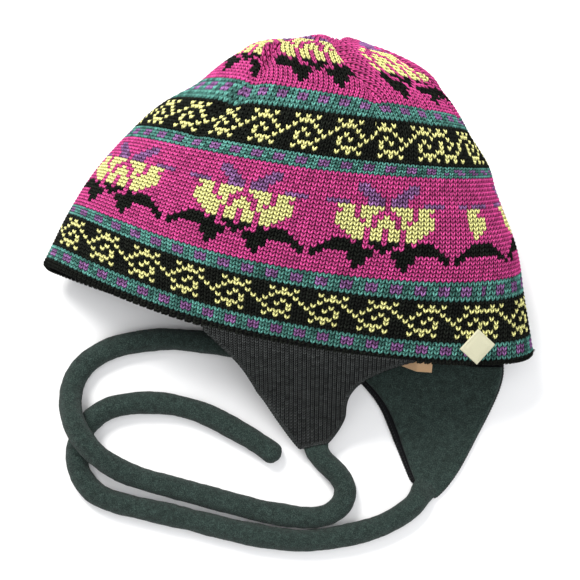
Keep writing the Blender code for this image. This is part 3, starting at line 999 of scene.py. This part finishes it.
def loft_mesh(name, rings, material, closed=True):
    """A body through rings of points, closed into a tube of tubes or capped at its ends."""
    builder = bmesh.new()
    loops = [[builder.verts.new(point) for point in ring] for ring in rings]
    pairs = list(zip(loops, loops[1:] + loops[:1])) if closed else list(zip(loops, loops[1:]))
    for lower, upper in pairs:
        for index in range(len(lower)):
            after = (index + 1) % len(lower)
            builder.faces.new((lower[index], lower[after], upper[after], upper[index]))
    if not closed:
        builder.faces.new(loops[0])
        builder.faces.new(loops[-1])
    return finish_mesh(name, builder, material)


def finish_mesh(name, builder, material):
    """Turn the faces outward and make a smooth object."""
    bmesh.ops.recalc_face_normals(builder, faces=builder.faces[:])
    for face in builder.faces:
        face.smooth = True
    mesh = bpy.data.meshes.new(name)
    builder.to_mesh(mesh)
    builder.free()
    return add_object(name, mesh, material)


print("a stitch of a patch is", RIB_SHARE, "of its cell wide")

# %% [markdown]
# The hem's section is a narrow loop round the rim: up the inside, under the edge and
# up the outside. A closed black body lies just under its stitches.

# %% The hem
HEM_DEPTH = KNIT_WALL + CLEARANCE + FLEECE_WALL
HEM_BOTTOM = CLEARANCE + HEM_HEIGHT
HEM_ROUND = 0.0012
HEM_STITCH_HEIGHT = 0.0018
HEM_BACKING_DEPTH = 0.0008
HEM_INNER_ROWS = 2
BLACK_LOW = (0.002, 0.002, 0.003)
BLACK_HIGH = (0.008, 0.008, 0.009)


def hem_path(degrees, depth):
    """Rings round the hem's section: up its inside, under the edge and up its outside."""
    low, inside, outside = HEM_BOTTOM - depth, HEM_DEPTH - depth, depth
    corners = ((CLEARANCE, inside), (low - HEM_ROUND, inside), (low, inside - HEM_ROUND),
               (low, outside + HEM_ROUND), (low - HEM_ROUND, outside), (CLEARANCE, outside))
    rings = [rim_ring(degrees, below, place) for below, place in corners]
    rings.append(wall_ring(np.minimum(row_climbs(0.0, degrees), 0.0) * 0.5, degrees, depth))
    rings.append(wall_ring(row_climbs(0.0, degrees), degrees, depth))
    for ring in rings:
        ring[:, 2] = np.maximum(ring[:, 2], FLOOR_GAP + depth)
    return rings


def black_material(name):
    """The dull black loops behind black stitches."""
    paint = Paint(name)
    fuzz = paint.noise(paint.place(), *FUZZ)
    paint.bump(fuzz, PLY_RELIEF)
    colour = paint.mix(paint.span(fuzz, 0.3, 0.8, 0.0, 1.0), BLACK_LOW, BLACK_HIGH)
    return paint.finish(colour, BACKING_ROUGHNESS, specular_ior_level=YARN_SHINE)


hem_degrees = read_line(TOP_DART, 0.0) - np.linspace(0.0, 360.0, COLUMNS + 1)
hem_patch = Patch(even_rows(hem_path(hem_degrees, 0.0), HEM_STITCH_HEIGHT))
hem_layer = Layer(stitch)
hem_rows, hem_columns = np.mgrid[HEM_INNER_ROWS:len(hem_patch.points) - 1, 0:COLUMNS]
hem_patch.stitch(hem_layer, hem_rows.ravel(), hem_columns.ravel(), "K", np.random.default_rng(SEED))
hem_stitches = hem_layer.build("rim_hem_stitches", knit_look)
black_look = black_material("black_backing")
backing = hem_path(hem_degrees[:-1], HEM_BACKING_DEPTH)
backing.append(wall_ring(np.maximum(row_climbs(0.0, hem_degrees[:-1]), 0.0), hem_degrees[:-1], KNIT_WALL))
rim_hem = loft_mesh("rim_hem", backing, black_look)
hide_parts("rim_facing")
for item in (rim_hem, hem_stitches):
    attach(item, "root")
print("hem rows:", len(hem_patch.points) - 1)

# %% [markdown]
# The lining is fleece, which shows in the mouth, on the inside of the flaps and on the
# ties. Hairs by the thousand could be grown on it, but this pile is short and matted,
# so two sizes of noise in relief and in colour are enough; the larger one also paints
# shade, lighter on the raised clumps and darker between them.

# %% Fleece
FLEECE_GREEN = (0.0100, 0.0190, 0.0165)
FLEECE_LIGHT = (0.0750, 0.1150, 0.1000)
FLEECE_RELIEF = 0.0006
FLEECE_ROUGHNESS = 0.97
CLUMP_NOISE = (420.0, 4.0, 0.6)
FLECK_NOISE = (2300.0, 3.0, 0.7)
BAND_RINGS = 13
BAND_SIDES = 180


def fleece_material(name):
    """Short matted pile, dark green-grey with pale flecks."""
    paint = Paint(name)
    place = paint.place()
    clumps = paint.noise(place, *CLUMP_NOISE)
    flecks = paint.noise(place, *FLECK_NOISE)
    paint.bump(clumps + flecks * 0.8, FLEECE_RELIEF)
    colour = paint.mix(paint.span(flecks, 0.46, 0.80, 0.0, 1.0), FLEECE_GREEN, FLEECE_LIGHT)
    # Painted shade: the pile is lighter on its raised clumps and darker between them
    light = paint.span(clumps, 0.3, 0.7, 0.60, 1.30)
    return paint.finish(paint.shade(colour, light), FLEECE_ROUGHNESS, sheen_weight=0.06,
                        sheen_roughness=0.6, specular_ior_level=YARN_SHINE)


fleece_look = fleece_material("fleece")
band_face = KNIT_WALL + CLEARANCE
band_climbs = np.linspace(0.0, BAND_DEPTH / (CROWN_REACH * MERIDIAN_SHARE), BAND_RINGS)
band_degrees = np.linspace(0.0, 360.0, BAND_SIDES, endpoint=False)
band_rings = [wall_ring(climb, band_degrees, band_face) for climb in band_climbs]
band_rings += [wall_ring(climb, band_degrees, band_face + FLEECE_WALL) for climb in band_climbs[::-1]]
ear_band = loft_mesh("ear_band", band_rings, fleece_look)
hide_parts("fleece_band")
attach(ear_band, "root")
print("ear band faces:", len(ear_band.data.polygons))

# %% [markdown]
# A flap hangs from the hem. A curve gives its middle line, and a table its width on
# the way to the tip. It could be draped by a cloth simulation, but the photograph
# shows just how it lies, so its face is written as a formula of two shares: across
# and down.

# %% The flaps' shape
FLAP_KNIT_WALL = 0.0018
FLAP_FLEECE_WALL = 0.0018
FLEECE_ROOT_SETBACK = 0.0015
FLAP_SEAM_GAP = 0.0006
FLAP_HANDLE_LENGTH = 0.0200
TIP_RISE_SHARE = 0.22
ROOT_SLANT_SHARE = 0.667
ROOT_CURVE_SHARE = 0.833
TIP_TURN_SHARE = 0.5
LEAST_WIDTH_SHARE = 0.1
FLAP_OUTLINE = ((0.00, 1.00), (0.18, 0.79), (0.32, 0.64), (0.46, 0.52), (0.60, 0.43),
                (0.75, 0.35), (0.88, 0.265), (0.96, 0.195), (1.00, 0.15))
FLAP_COLUMNS = ("first_angle", "last_angle", "reach", "lean", "bow", "tip_height", "tip_turn", "side", "tuck")
FLAPS = {
    "left": (61.0, 107.0, 0.0400, 0.0125, -0.0150, 0.0100, 22.0, -1.0, 0.20),
    "right": (-26.0, -83.0, 0.0655, 0.0115, 0.0170, 0.0, -25.0, 1.0, 0.0),
}
# The left flap's inner edge is tucked in from its root to this share of its length
TUCK_END = 0.55
NORMAL_STEP = 0.02


class Flap:
    """The outer face of an ear flap, and its layers under that face."""

    def __init__(self, first_angle, last_angle, reach, lean, bow, tip_height, tip_turn, side, tuck):
        self.tuck = tuck
        self.first_angle = first_angle
        self.middle_angle = (first_angle + last_angle) / 2.0
        self.root_drop = CLEARANCE + HEM_HEIGHT + FLAP_SEAM_GAP
        self.middle = self.root(self.middle_angle)
        towards, _ = ring_slopes(0.0, np.array([self.middle_angle]))
        self.tip = np.array((self.middle[0] + lean, self.middle[1] - reach, tip_height))
        self.handles = (self.middle - towards[0] * FLAP_HANDLE_LENGTH + np.array((bow, 0.0, 0.0)),
                        self.tip + np.array((0.0, FLAP_HANDLE_LENGTH,
                                             (self.middle[2] - self.tip[2]) * TIP_RISE_SHARE)))
        self.turn = math.radians(tip_turn)
        self.side = side
        self.half_width = np.linalg.norm(self.root(first_angle) - self.root(last_angle)) / 2.0
        self.length = np.linalg.norm(self.tip - self.middle)

    def root(self, degrees):
        """The point of the hem where the flap is sewn on, at an angle."""
        return rim_ring(np.array([degrees]), self.root_drop, 0.0)[0]

    def narrow(self, down):
        """The flap's width on the way down, as a share of its width at the root."""
        return np.vectorize(lambda place: hermite(FLAP_OUTLINE, 1, place))(down)

    def face(self, across, down):
        """Points for arrays of places across (-1 to 1) and down (0 to 1)."""
        across, down = np.broadcast_arrays(across, down)
        angle = self.middle_angle + (self.first_angle - self.middle_angle) * -across
        spread = rim_ring(angle, self.root_drop, 0.0) - self.middle
        narrow = self.narrow(down)
        slant = 1.0 - smooth_step(down / ROOT_SLANT_SHARE)
        spread[..., 1] *= slant / np.maximum(narrow, LEAST_WIDTH_SHARE)
        spread[..., 2] *= 1.0 - smooth_step(down / ROOT_CURVE_SHARE)
        turn = self.turn * smooth_step((down - TIP_TURN_SHARE) / (1.0 - TIP_TURN_SHARE))
        x = spread[..., 0] * np.cos(turn) - spread[..., 1] * np.sin(turn)
        y = spread[..., 0] * np.sin(turn) + spread[..., 1] * np.cos(turn)
        turned = np.stack((x, y, spread[..., 2]), axis=-1)
        back = (1.0 - down)[..., None]
        front = down[..., None]
        centre = (self.middle * back ** 3 + self.handles[0] * 3.0 * back ** 2 * front
                  + self.handles[1] * 3.0 * back * front ** 2 + self.tip * front ** 3)
        bump = np.sin(math.pi * np.clip(down / TUCK_END, 0.0, 1.0))
        tucked = 1.0 - self.tuck * bump * np.maximum(across, 0.0)
        return centre + turned * (narrow * tucked)[..., None]

    def normal(self, across, down):
        """Directions from the knitted face towards the fleece."""
        left = self.face(np.minimum(across + NORMAL_STEP, 1.0), down)
        right = self.face(np.maximum(across - NORMAL_STEP, -1.0), down)
        fall = self.face(across, np.minimum(down + NORMAL_STEP, 1.0)) - self.face(across, down - NORMAL_STEP)
        return unit(np.cross(left - right, fall)) * self.side

    def grid(self, setback, inset, depth, rows, columns):
        """Rows of points of a layer at a depth, from the root to the tip."""
        downs = (setback + (self.length - inset - setback) * np.linspace(0.0, 1.0, rows)) / self.length
        limit = 1.0 - inset / (self.half_width * self.narrow(downs))
        across = np.linspace(-1.0, 1.0, columns)[None, :] * limit[:, None]
        down = np.repeat(downs[:, None], columns, axis=1)
        return self.face(across, down) + self.normal(across, down) * depth


flaps = {name: Flap(**dict(zip(FLAP_COLUMNS, sizes))) for name, sizes in FLAPS.items()}
print({name: round(flap.length * 1000, 1) for name, flap in flaps.items()}, "mm long")

# %% [markdown]
# The outside of a flap is knitted in ribs that run straight up, whatever its outline
# does, and a strip of three stitches binds its edge. So the face is measured in
# stitches from a line through the tip, and only whole stitches inside the edge stay.

# %% The flaps' knitting
RIB_TURN = CAMERA_TURN
FLAP_STITCH_WIDTH = 0.0021
FLAP_STITCH_HEIGHT = 0.00145
FLAP_OVERLAP = 0.0030
FLAP_BACKING_DEPTH = 0.0008
CLOTH_STEPS = 40
EDGE_SAMPLES = 60
EDGE_SWELL = 0.0002


def plate_mesh(name, upper_grid, lower_grid, material):
    """A closed thin body between two grids of the same size."""
    builder = bmesh.new()
    upper = [[builder.verts.new(point) for point in row] for row in upper_grid]
    lower = [[builder.verts.new(point) for point in row] for row in lower_grid]
    rows, columns = len(upper), len(upper[0])
    for row in range(rows - 1):
        for column in range(columns - 1):
            for side in (upper, lower):
                builder.faces.new((side[row][column], side[row][column + 1],
                                   side[row + 1][column + 1], side[row + 1][column]))
    border = [(0, column) for column in range(columns)]
    border += [(row, columns - 1) for row in range(1, rows)]
    border += [(rows - 1, column) for column in range(columns - 2, -1, -1)]
    border += [(row, 0) for row in range(rows - 2, 0, -1)]
    for here, after in zip(border, border[1:] + border[:1]):
        builder.faces.new((upper[here[0]][here[1]], upper[after[0]][after[1]],
                           lower[after[0]][after[1]], lower[here[0]][here[1]]))
    return finish_mesh(name, builder, material)


def flap_patch(flap):
    """The flap's outer face as a grid of stitches, and which cells lie inside its outline."""
    start = -FLAP_OVERLAP / flap.length
    rows = round((flap.length + FLAP_OVERLAP) / FLAP_STITCH_HEIGHT)
    downs = np.linspace(1.0, start, rows + 1)
    shares = np.linspace(-1.0, 1.0, 2 * EDGE_SAMPLES + 1)
    grid = flap.face(shares[None, :], downs[:, None])
    steps = np.linalg.norm(np.diff(grid, axis=1), axis=2)
    lengths = np.concatenate((np.zeros((rows + 1, 1)), np.cumsum(steps, axis=1)), axis=1)
    sideways = grid[..., 0] * math.cos(RIB_TURN) + grid[..., 1] * math.sin(RIB_TURN)
    sideways = (sideways - np.dot(flap.tip[:2], (math.cos(RIB_TURN), math.sin(RIB_TURN)))) * flap.side
    lengths -= np.array([np.interp(0.0, places, line) for places, line in zip(sideways, lengths)])[:, None]
    half = math.ceil(np.abs(lengths).max() / FLAP_STITCH_WIDTH)
    columns = np.arange(-half, half + 1) * FLAP_STITCH_WIDTH * flap.side
    across = np.array([np.interp(columns, line, shares) for line in lengths])
    patch = Patch(flap.face(across, downs[:, None]))
    patch.normals = -flap.normal(across, np.repeat(downs[:, None], len(columns), axis=1))
    middles = (columns[:-1] + columns[1:]) / 2.0
    low, high = (lengths[:-1, place] + lengths[1:, place] for place in (0, -1))
    margin = FLAP_STITCH_WIDTH / 2
    inside = (middles > low[:, None] + margin) & (middles < high[:, None] - margin)
    return patch, inside


def edge_patch(flap):
    """A strip of stitches that binds the flap's edge, from one end of its root to the other."""
    ends, middle = np.ones(EDGE_SAMPLES), np.linspace(-1.0, 1.0, EDGE_SAMPLES)
    way_down = np.linspace(0.0, 1.0, EDGE_SAMPLES)
    across = np.concatenate((-ends, middle, ends))
    down = np.concatenate((way_down, ends, np.linspace(1.0, 0.0, EDGE_SAMPLES)))
    steps = np.linalg.norm(np.diff(flap.face(across, down), axis=0), axis=1)
    lengths = np.concatenate(([0.0], np.cumsum(steps)))
    places = np.linspace(0.0, lengths[-1], round(lengths[-1] / FLAP_STITCH_HEIGHT) + 1)
    across, down = np.interp(places, lengths, across), np.interp(places, lengths, down)
    edge, outward = flap.face(across, down), -flap.normal(across, down)
    line = unit(np.gradient(edge, axis=0))
    if np.dot(np.cross(line[0], outward[0]), edge[0] - flap.middle) < 0.0:
        edge, outward, line = edge[::-1], outward[::-1], -line[::-1]
    away = np.cross(line, outward)
    inner = edge - away * FLAP_STITCH_WIDTH
    under = edge - outward * FLAP_KNIT_WALL
    strip = (inner, edge + away * EDGE_SWELL, under, under - away * FLAP_STITCH_WIDTH)
    return Patch(np.stack(strip, axis=1))


def knit_flap(name, flap):
    """Make the cloth of a flap and lay its stitches, and give the cloth."""
    patch, inside = flap_patch(flap)
    chance = np.random.default_rng(SEED)
    layer = Layer(stitch)
    patch.stitch(layer, *np.nonzero(inside), "G", chance)
    edge = edge_patch(flap)
    edge_rows, edge_columns = np.mgrid[0:len(edge.points) - 1, 0:edge.points.shape[1] - 1]
    edge.stitch(layer, edge_rows.ravel(), edge_columns.ravel(), "G", chance)
    stitches = layer.build("flap_" + name + "_stitches", knit_look)
    outer, inner = (flap.grid(-FLAP_OVERLAP, 0.0, depth, CLOTH_STEPS, CLOTH_STEPS)
                    for depth in (FLAP_BACKING_DEPTH, FLAP_KNIT_WALL))
    cloth = plate_mesh("flap_" + name + "_cloth", outer, inner, black_look)
    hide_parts("flap_" + name + "_knit")
    for item in (cloth, stitches):
        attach(item, "root")
    print(name, "flap has", int(inside.sum()), "stitches on its face")
    return cloth


cloths = {name: knit_flap(name, flap) for name, flap in flaps.items()}

# %% [markdown]
# The inside of a flap is a sheet of fleece. Its edge is rounded, and its face has
# small lumps of pile, because a flat sheet would look like card.

# %% The flaps' fleece
PILE_ROWS = 72
PILE_COLUMNS = 64
PILE_TIP_INSET = 0.0004
PILE_ROUND = 0.0020
PILE_EDGE_SHARE = 0.25
CLUMP_SCALE = 260.0
CLUMP_HEIGHT = 0.00022
PILE_SCALE = 900.0
PILE_HEIGHT = 0.00012
# How far the fleece stays inside the two edges of each flap
PILE_INSETS = {"left": (0.0030, 0.0030), "right": (0.0004, 0.0030)}


def matted(points):
    """Small lumps of pile at each point, in metres."""
    flat = points.reshape(-1, 3)
    lumps = [noise.noise(Vector(point) * CLUMP_SCALE) * CLUMP_HEIGHT
             + noise.noise(Vector(point) * PILE_SCALE) * PILE_HEIGHT for point in flat]
    return np.array(lumps).reshape(points.shape[:-1])


def pile_grids(flap, insets):
    """The fleece of a flap: its back against the cloth and its rounded, matted front."""
    start = FLAP_KNIT_WALL + CLEARANCE
    places = np.linspace(0.0, 1.0, PILE_ROWS)
    reach = flap.length - PILE_TIP_INSET - FLEECE_ROOT_SETBACK
    downs = (FLEECE_ROOT_SETBACK + reach * places) / flap.length
    width = flap.half_width * flap.narrow(downs)
    low, high = -1.0 + insets[0] / width, 1.0 - insets[1] / width
    share = np.linspace(0.0, 1.0, PILE_COLUMNS)[None, :]
    across = low[:, None] + (high - low)[:, None] * share
    down = np.repeat(downs[:, None], PILE_COLUMNS, axis=1)
    face, inward = flap.face(across, down), flap.normal(across, down)
    to_side = np.minimum(share, 1.0 - share) * ((high - low) * width)[:, None]
    to_tip = np.repeat(((1.0 - places) * flap.length)[:, None], PILE_COLUMNS, axis=1)
    near = np.clip(np.minimum(to_side, to_tip) / PILE_ROUND, 0.0, 1.0)
    rounded = np.sqrt(1.0 - (1.0 - near) ** 2)
    height = FLAP_FLEECE_WALL * (PILE_EDGE_SHARE + (1.0 - PILE_EDGE_SHARE) * rounded)
    back = face + inward * start
    front = face + inward * (start + height)[..., None]
    return back, front + inward * matted(front)[..., None]


for name, flap in flaps.items():
    back, front = pile_grids(flap, PILE_INSETS[name])
    pile = plate_mesh("flap_" + name + "_pile", back, front, fleece_look)
    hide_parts("flap_" + name + "_fleece")
    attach(pile, "root")
    print(name, "flap's fleece:", len(pile.data.polygons), "faces")

# %% [markdown]
# Each tie is a tube of fleece along a smooth curve through the route that it lies in.
# It starts flat, where it is sewn to the flap's tip, and ends round.
# A curve with a round bevel would make a tube too, but it couldn't flatten its start
# or round its end, so the tube is made ring by ring.

# %% The ties' routes
TIE_DIAMETER = 0.011
TIE_LEFT_ROUTE = (
    (0.0252, -0.0648, 0.0086), (0.0270, -0.0700, 0.0070), (0.0312, -0.0744, 0.0064),
    (0.0360, -0.0775, 0.0060), (0.0404, -0.0808, 0.0057), (0.0438, -0.0852, 0.0056),
    (0.0446, -0.0903, 0.0056), (0.0430, -0.0953, 0.0056), (0.0391, -0.0995, 0.0056),
    (0.0343, -0.1020, 0.0056), (0.0293, -0.1034, 0.0056), (0.0231, -0.1041, 0.0056),
    (0.0120, -0.1045, 0.0056), (0.0040, -0.1044, 0.0056), (-0.0160, -0.1029, 0.0056),
    (-0.0365, -0.1012, 0.0058), (-0.0543, -0.0998, 0.0075), (-0.0665, -0.0976, 0.0110),
    (-0.0774, -0.0934, 0.0160), (-0.0864, -0.0870, 0.0180), (-0.0936, -0.0786, 0.0164),
    (-0.0982, -0.0692, 0.0110), (-0.0994, -0.0588, 0.0066), (-0.0959, -0.0490, 0.0056),
    (-0.0886, -0.0412, 0.0056), (-0.0786, -0.0352, 0.0056), (-0.0600, -0.0290, 0.0056),
    (-0.0410, -0.0268, 0.0056), (-0.0280, -0.0264, 0.0056), (-0.0127, -0.0264, 0.0056),
    (0.0010, -0.0266, 0.0056),
)
TIE_RIGHT_ROUTE = (
    (0.0852, -0.0748, 0.0021), (0.0826, -0.0802, 0.0038), (0.0780, -0.0892, 0.0054),
    (0.0662, -0.0998, 0.0056), (0.0494, -0.1083, 0.0056), (0.0286, -0.1149, 0.0056),
    (0.0068, -0.1165, 0.0056), (-0.0135, -0.1159, 0.0056), (-0.0339, -0.1147, 0.0056),
    (-0.0525, -0.1140, 0.0056), (-0.0691, -0.1129, 0.0056), (-0.0790, -0.1098, 0.0056),
    (-0.0867, -0.1028, 0.0056), (-0.0906, -0.0932, 0.0056), (-0.0902, -0.0828, 0.0056),
    (-0.0854, -0.0736, 0.0056), (-0.0768, -0.0668, 0.0056), (-0.0626, -0.0622, 0.0056),
    (-0.0471, -0.0606, 0.0056), (-0.0314, -0.0623, 0.0056), (-0.0152, -0.0670, 0.0056),
    (-0.0015, -0.0721, 0.0056), (0.0094, -0.0773, 0.0056),
)
TIE_SPACING = 0.0011
CURVE_STEPS = 24
# Each tie: the node that it replaces, its own name and its route
TIES = (("tie_left", "left_tie", TIE_LEFT_ROUTE), ("tie_right", "right_tie", TIE_RIGHT_ROUTE))


def smooth_route(route, spacing):
    """Points at an even spacing on a smooth curve through a route."""
    points = np.array(route)
    last = len(points) - 1
    curve = []
    for index in range(last):
        before, after = points[max(index - 1, 0)], points[min(index + 2, last)]
        start, end = points[index], points[index + 1]
        share = np.linspace(0.0, 1.0, CURVE_STEPS, endpoint=False)[:, None]
        curve.append(0.5 * (2.0 * start + (end - before) * share
                            + (2.0 * before - 5.0 * start + 4.0 * end - after) * share ** 2
                            + (3.0 * start - before - 3.0 * end + after) * share ** 3))
    curve = np.concatenate(curve + [points[-1:]])
    lengths = np.concatenate(([0.0], np.cumsum(np.linalg.norm(np.diff(curve, axis=0), axis=1))))
    places = np.linspace(0.0, lengths[-1], max(2, round(lengths[-1] / spacing)) + 1)
    return np.stack([np.interp(places, lengths, curve[:, axis]) for axis in range(3)], axis=1), lengths[-1]


print("route points:", len(TIE_LEFT_ROUTE), "and", len(TIE_RIGHT_ROUTE))

# %% [markdown]
# The ring of a tie is flat and wide where it is sewn on, then round, and it closes
# at the free end. The same lumps of pile as on the flaps lie all over it.

# %% Ties
TIE_SIDES = 28
SEWN_LENGTH = 0.012
SEWN_HEIGHT_SHARE = 0.28
SEWN_WIDTH_SHARE = 1.18
END_LENGTH = 0.0050
LEAST_CAP = 0.02
TIE_SWELL = 0.0004
TIE_SWELL_SCALE = 75.0


def tie_rings(path, length):
    """Rings round a tie: flat and wide where it is sewn, round at its free end."""
    tangents = unit(np.gradient(path, axis=0))
    side = unit(np.cross(tangents, np.array((0.0, 0.0, 1.0))))
    top = unit(np.cross(side, tangents))
    places = np.linspace(0.0, length, len(path))
    sewn = smooth_step(places / SEWN_LENGTH)
    to_end = np.clip((length - places) / END_LENGTH, 0.0, 1.0)
    cap = np.sqrt(np.maximum(1.0 - (1.0 - to_end) ** 2, LEAST_CAP))
    wide = TIE_DIAMETER / 2.0 * cap * (SEWN_WIDTH_SHARE + (1.0 - SEWN_WIDTH_SHARE) * sewn)
    high = TIE_DIAMETER / 2.0 * cap * (SEWN_HEIGHT_SHARE + (1.0 - SEWN_HEIGHT_SHARE) * sewn)
    angles = np.linspace(0.0, 2.0 * math.pi, TIE_SIDES, endpoint=False)
    across = side[:, None, :] * np.cos(angles)[None, :, None]
    rise = top[:, None, :] * np.sin(angles)[None, :, None]
    rings = path[:, None, :] + across * wide[:, None, None] + rise * high[:, None, None]
    off = unit(rings - path[:, None, :])
    swell = np.array([noise.noise(Vector(point) * TIE_SWELL_SCALE) for point in path]) * TIE_SWELL
    rings = rings + off * (matted(rings) + swell[:, None])[..., None]
    rings[..., 2] = np.maximum(rings[..., 2], FLOOR_GAP)
    return list(rings)


for node, name, route in TIES:
    path, length = smooth_route(route, TIE_SPACING)
    item = loft_mesh(name, tie_rings(path, length), fleece_look, closed=False)
    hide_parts(node)
    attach(item, "root")
    print(name, "is", round(length, 4), "m long")

# %% [markdown]
# A bare woven label stands on its corner at the back of the rim. A satin care label,
# folded into a loop, hangs from the lining below it. Both are thin plates with a
# thickness of their own, and a weave of crossing sines lies along each ribbon.

# %% Ribbon
LABEL_STEPS = 26
THREAD_SHINE = 0.3


def ribbon_material(name, colour, scale, relief, roughness):
    """Woven ribbon: crossing threads in relief and in painted shade, read from the piece's own directions."""
    paint = Paint(name)
    across, along = paint.split(paint.add("ShaderNodeUVMap", {"uv_map": "weave"}, {}))
    first = paint.maths("SINE", across * (scale * FULL_TURN), 0.0)
    second = paint.maths("SINE", along * (scale * FULL_TURN), 0.0)
    weave = first * second
    paint.bump(weave, relief)
    # Painted shade: the threads are darker where the weave dips
    shaded = paint.shade(colour, paint.span(weave, -1.0, 1.0, 0.86, 1.05))
    return paint.finish(shaded, roughness, specular_ior_level=THREAD_SHINE)


def add_weave(item, width, length, rows, columns):
    """Give a plate's faces their place on the ribbon, in metres."""
    mesh = item.data
    layer = mesh.uv_layers.new(name="weave")
    count = rows * columns
    places = np.array([loop.vertex_index for loop in mesh.loops]) % count
    across = (places % columns) / (columns - 1) * width
    along = (places // columns) / (rows - 1) * length
    layer.uv.foreach_set("vector", np.stack((across, along), axis=1).ravel())


def label_frame(angle, below, depth):
    """A point near the rim with the directions towards the crown, round the rim and out."""
    degrees = np.array([angle])
    towards, around = ring_slopes(0.0, degrees)
    return rim_ring(degrees, below, depth)[0], towards[0], around[0], ring_outward(0.0, degrees)[0]


woven_look = ribbon_material("label_weave", (0.620, 0.600, 0.425), 2600.0, 0.00006, 0.75)
satin_look = ribbon_material("label_satin", (0.400, 0.245, 0.125), 3400.0, 0.00002, 0.38)
print("ribbons:", woven_look.name, satin_look.name)

# %% [markdown]
# The woven label is a little cushion: its cut edge is folded under, so it is thick at
# the border and has a groove inside it. The care label bends away from the lining.

# %% Labels
LABEL_ANGLE = 39.6
LABEL_ABOVE_RIM = 0.0065
LABEL_SIDE = 0.0130
LABEL_THICKNESS = 0.0008
LABEL_LIFT = 0.0005
LABEL_EDGE = 0.0007
LABEL_EDGE_SHARE = 0.4
LABEL_PUFF = 0.0003
LABEL_GROOVE_SHARE = 1.8
CARE_ANGLE = 57.0
CARE_WIDTH = 0.0150
CARE_LENGTH = 0.0200
CARE_THICKNESS = 0.0010
CARE_BELOW_RIM = 0.0130
CARE_CURL = 0.0040
CARE_BEND = 0.7
RIBBON_THICKNESS = 0.00025


def build_label():
    """A square of woven cloth with a firm folded edge."""
    centre, towards, around, outward = label_frame(LABEL_ANGLE, -LABEL_ABOVE_RIM, 0.0)
    rise = unit(towards + around) * LABEL_SIDE / 2.0
    side = unit(towards - around) * LABEL_SIDE / 2.0
    steps = np.linspace(-1.0, 1.0, LABEL_STEPS)
    first, second = np.meshgrid(steps, steps, indexing="ij")
    flat = centre + rise * first[..., None] + side * second[..., None] + outward * LABEL_LIFT
    to_edge = (1.0 - np.maximum(np.abs(first), np.abs(second))) * LABEL_SIDE / 2.0
    rounded = np.sqrt(1.0 - (1.0 - np.clip(to_edge / LABEL_EDGE, 0.0, 1.0)) ** 2)
    groove = np.exp(-((to_edge - LABEL_GROOVE_SHARE * LABEL_EDGE) / LABEL_EDGE) ** 2)
    height = LABEL_THICKNESS * (LABEL_EDGE_SHARE + (1.0 - LABEL_EDGE_SHARE) * rounded) - LABEL_PUFF * groove
    item = plate_mesh("rim_label", flat + outward * height[..., None], flat, woven_look)
    add_weave(item, LABEL_SIDE, LABEL_SIDE, LABEL_STEPS, LABEL_STEPS)
    return item


def build_care_label():
    """A strip of satin folded back on itself, with a soft fold at its free end."""
    depth = KNIT_WALL + 2.0 * CLEARANCE + FLEECE_WALL
    root, towards, around, outward = label_frame(CARE_ANGLE, CARE_BELOW_RIM - CARE_LENGTH, depth)
    gap = CARE_THICKNESS - RIBBON_THICKNESS
    straight = np.linspace(0.0, 1.0, LABEL_STEPS) * (CARE_LENGTH - gap / 2)
    turn = np.linspace(0.0, math.pi, LABEL_STEPS // 2)[1:-1]
    along = np.concatenate((straight, CARE_LENGTH - gap / 2 + np.sin(turn) * gap / 2, straight[::-1]))
    inside = np.concatenate((np.zeros(LABEL_STEPS), (1.0 - np.cos(turn)) * gap / 2,
                             np.full(LABEL_STEPS, gap)))
    curl = CARE_CURL * (along / CARE_LENGTH) ** 2
    across = np.linspace(-0.5, 0.5, LABEL_STEPS) * CARE_WIDTH
    bent = np.maximum(across, 0.0) * CARE_BEND
    line = root - towards * along[:, None] - outward * (curl + inside)[:, None]
    grid = line[:, None, :] + around * across[None, :, None] - outward * bent[None, :, None]
    facing = unit(np.cross(np.gradient(grid, axis=0), np.gradient(grid, axis=1)))
    item = plate_mesh("satin_label", grid, grid + facing * RIBBON_THICKNESS, satin_look)
    add_weave(item, CARE_WIDTH, 2.0 * CARE_LENGTH, len(grid), LABEL_STEPS)
    return item


rim_label = build_label()
satin_label = build_care_label()
replaced = ((rim_label, "label_tab", "label_cream"), (satin_label, "care_label", "label_tan"))
for item, node, slot_name in replaced:
    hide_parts(node)
    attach(item, "root")
print("labels:", [len(item.data.polygons) for item, _, _ in replaced], "faces")

# %% [markdown]
# The floor is a plain pale table.

# %% Floor and finish
FLOOR_SIZE = 2.0
FLOOR_COLOUR = (0.86, 0.86, 0.87)
FLOOR_ROUGHNESS = 0.8

floor_mesh = bpy.data.meshes.new("floor")
floor_builder = bmesh.new()
bmesh.ops.create_grid(floor_builder, x_segments=1, y_segments=1, size=FLOOR_SIZE)
floor_builder.to_mesh(floor_mesh)
floor_builder.free()
floor = add_object("floor", floor_mesh, Paint("floor").finish(FLOOR_COLOUR, FLOOR_ROUGHNESS))
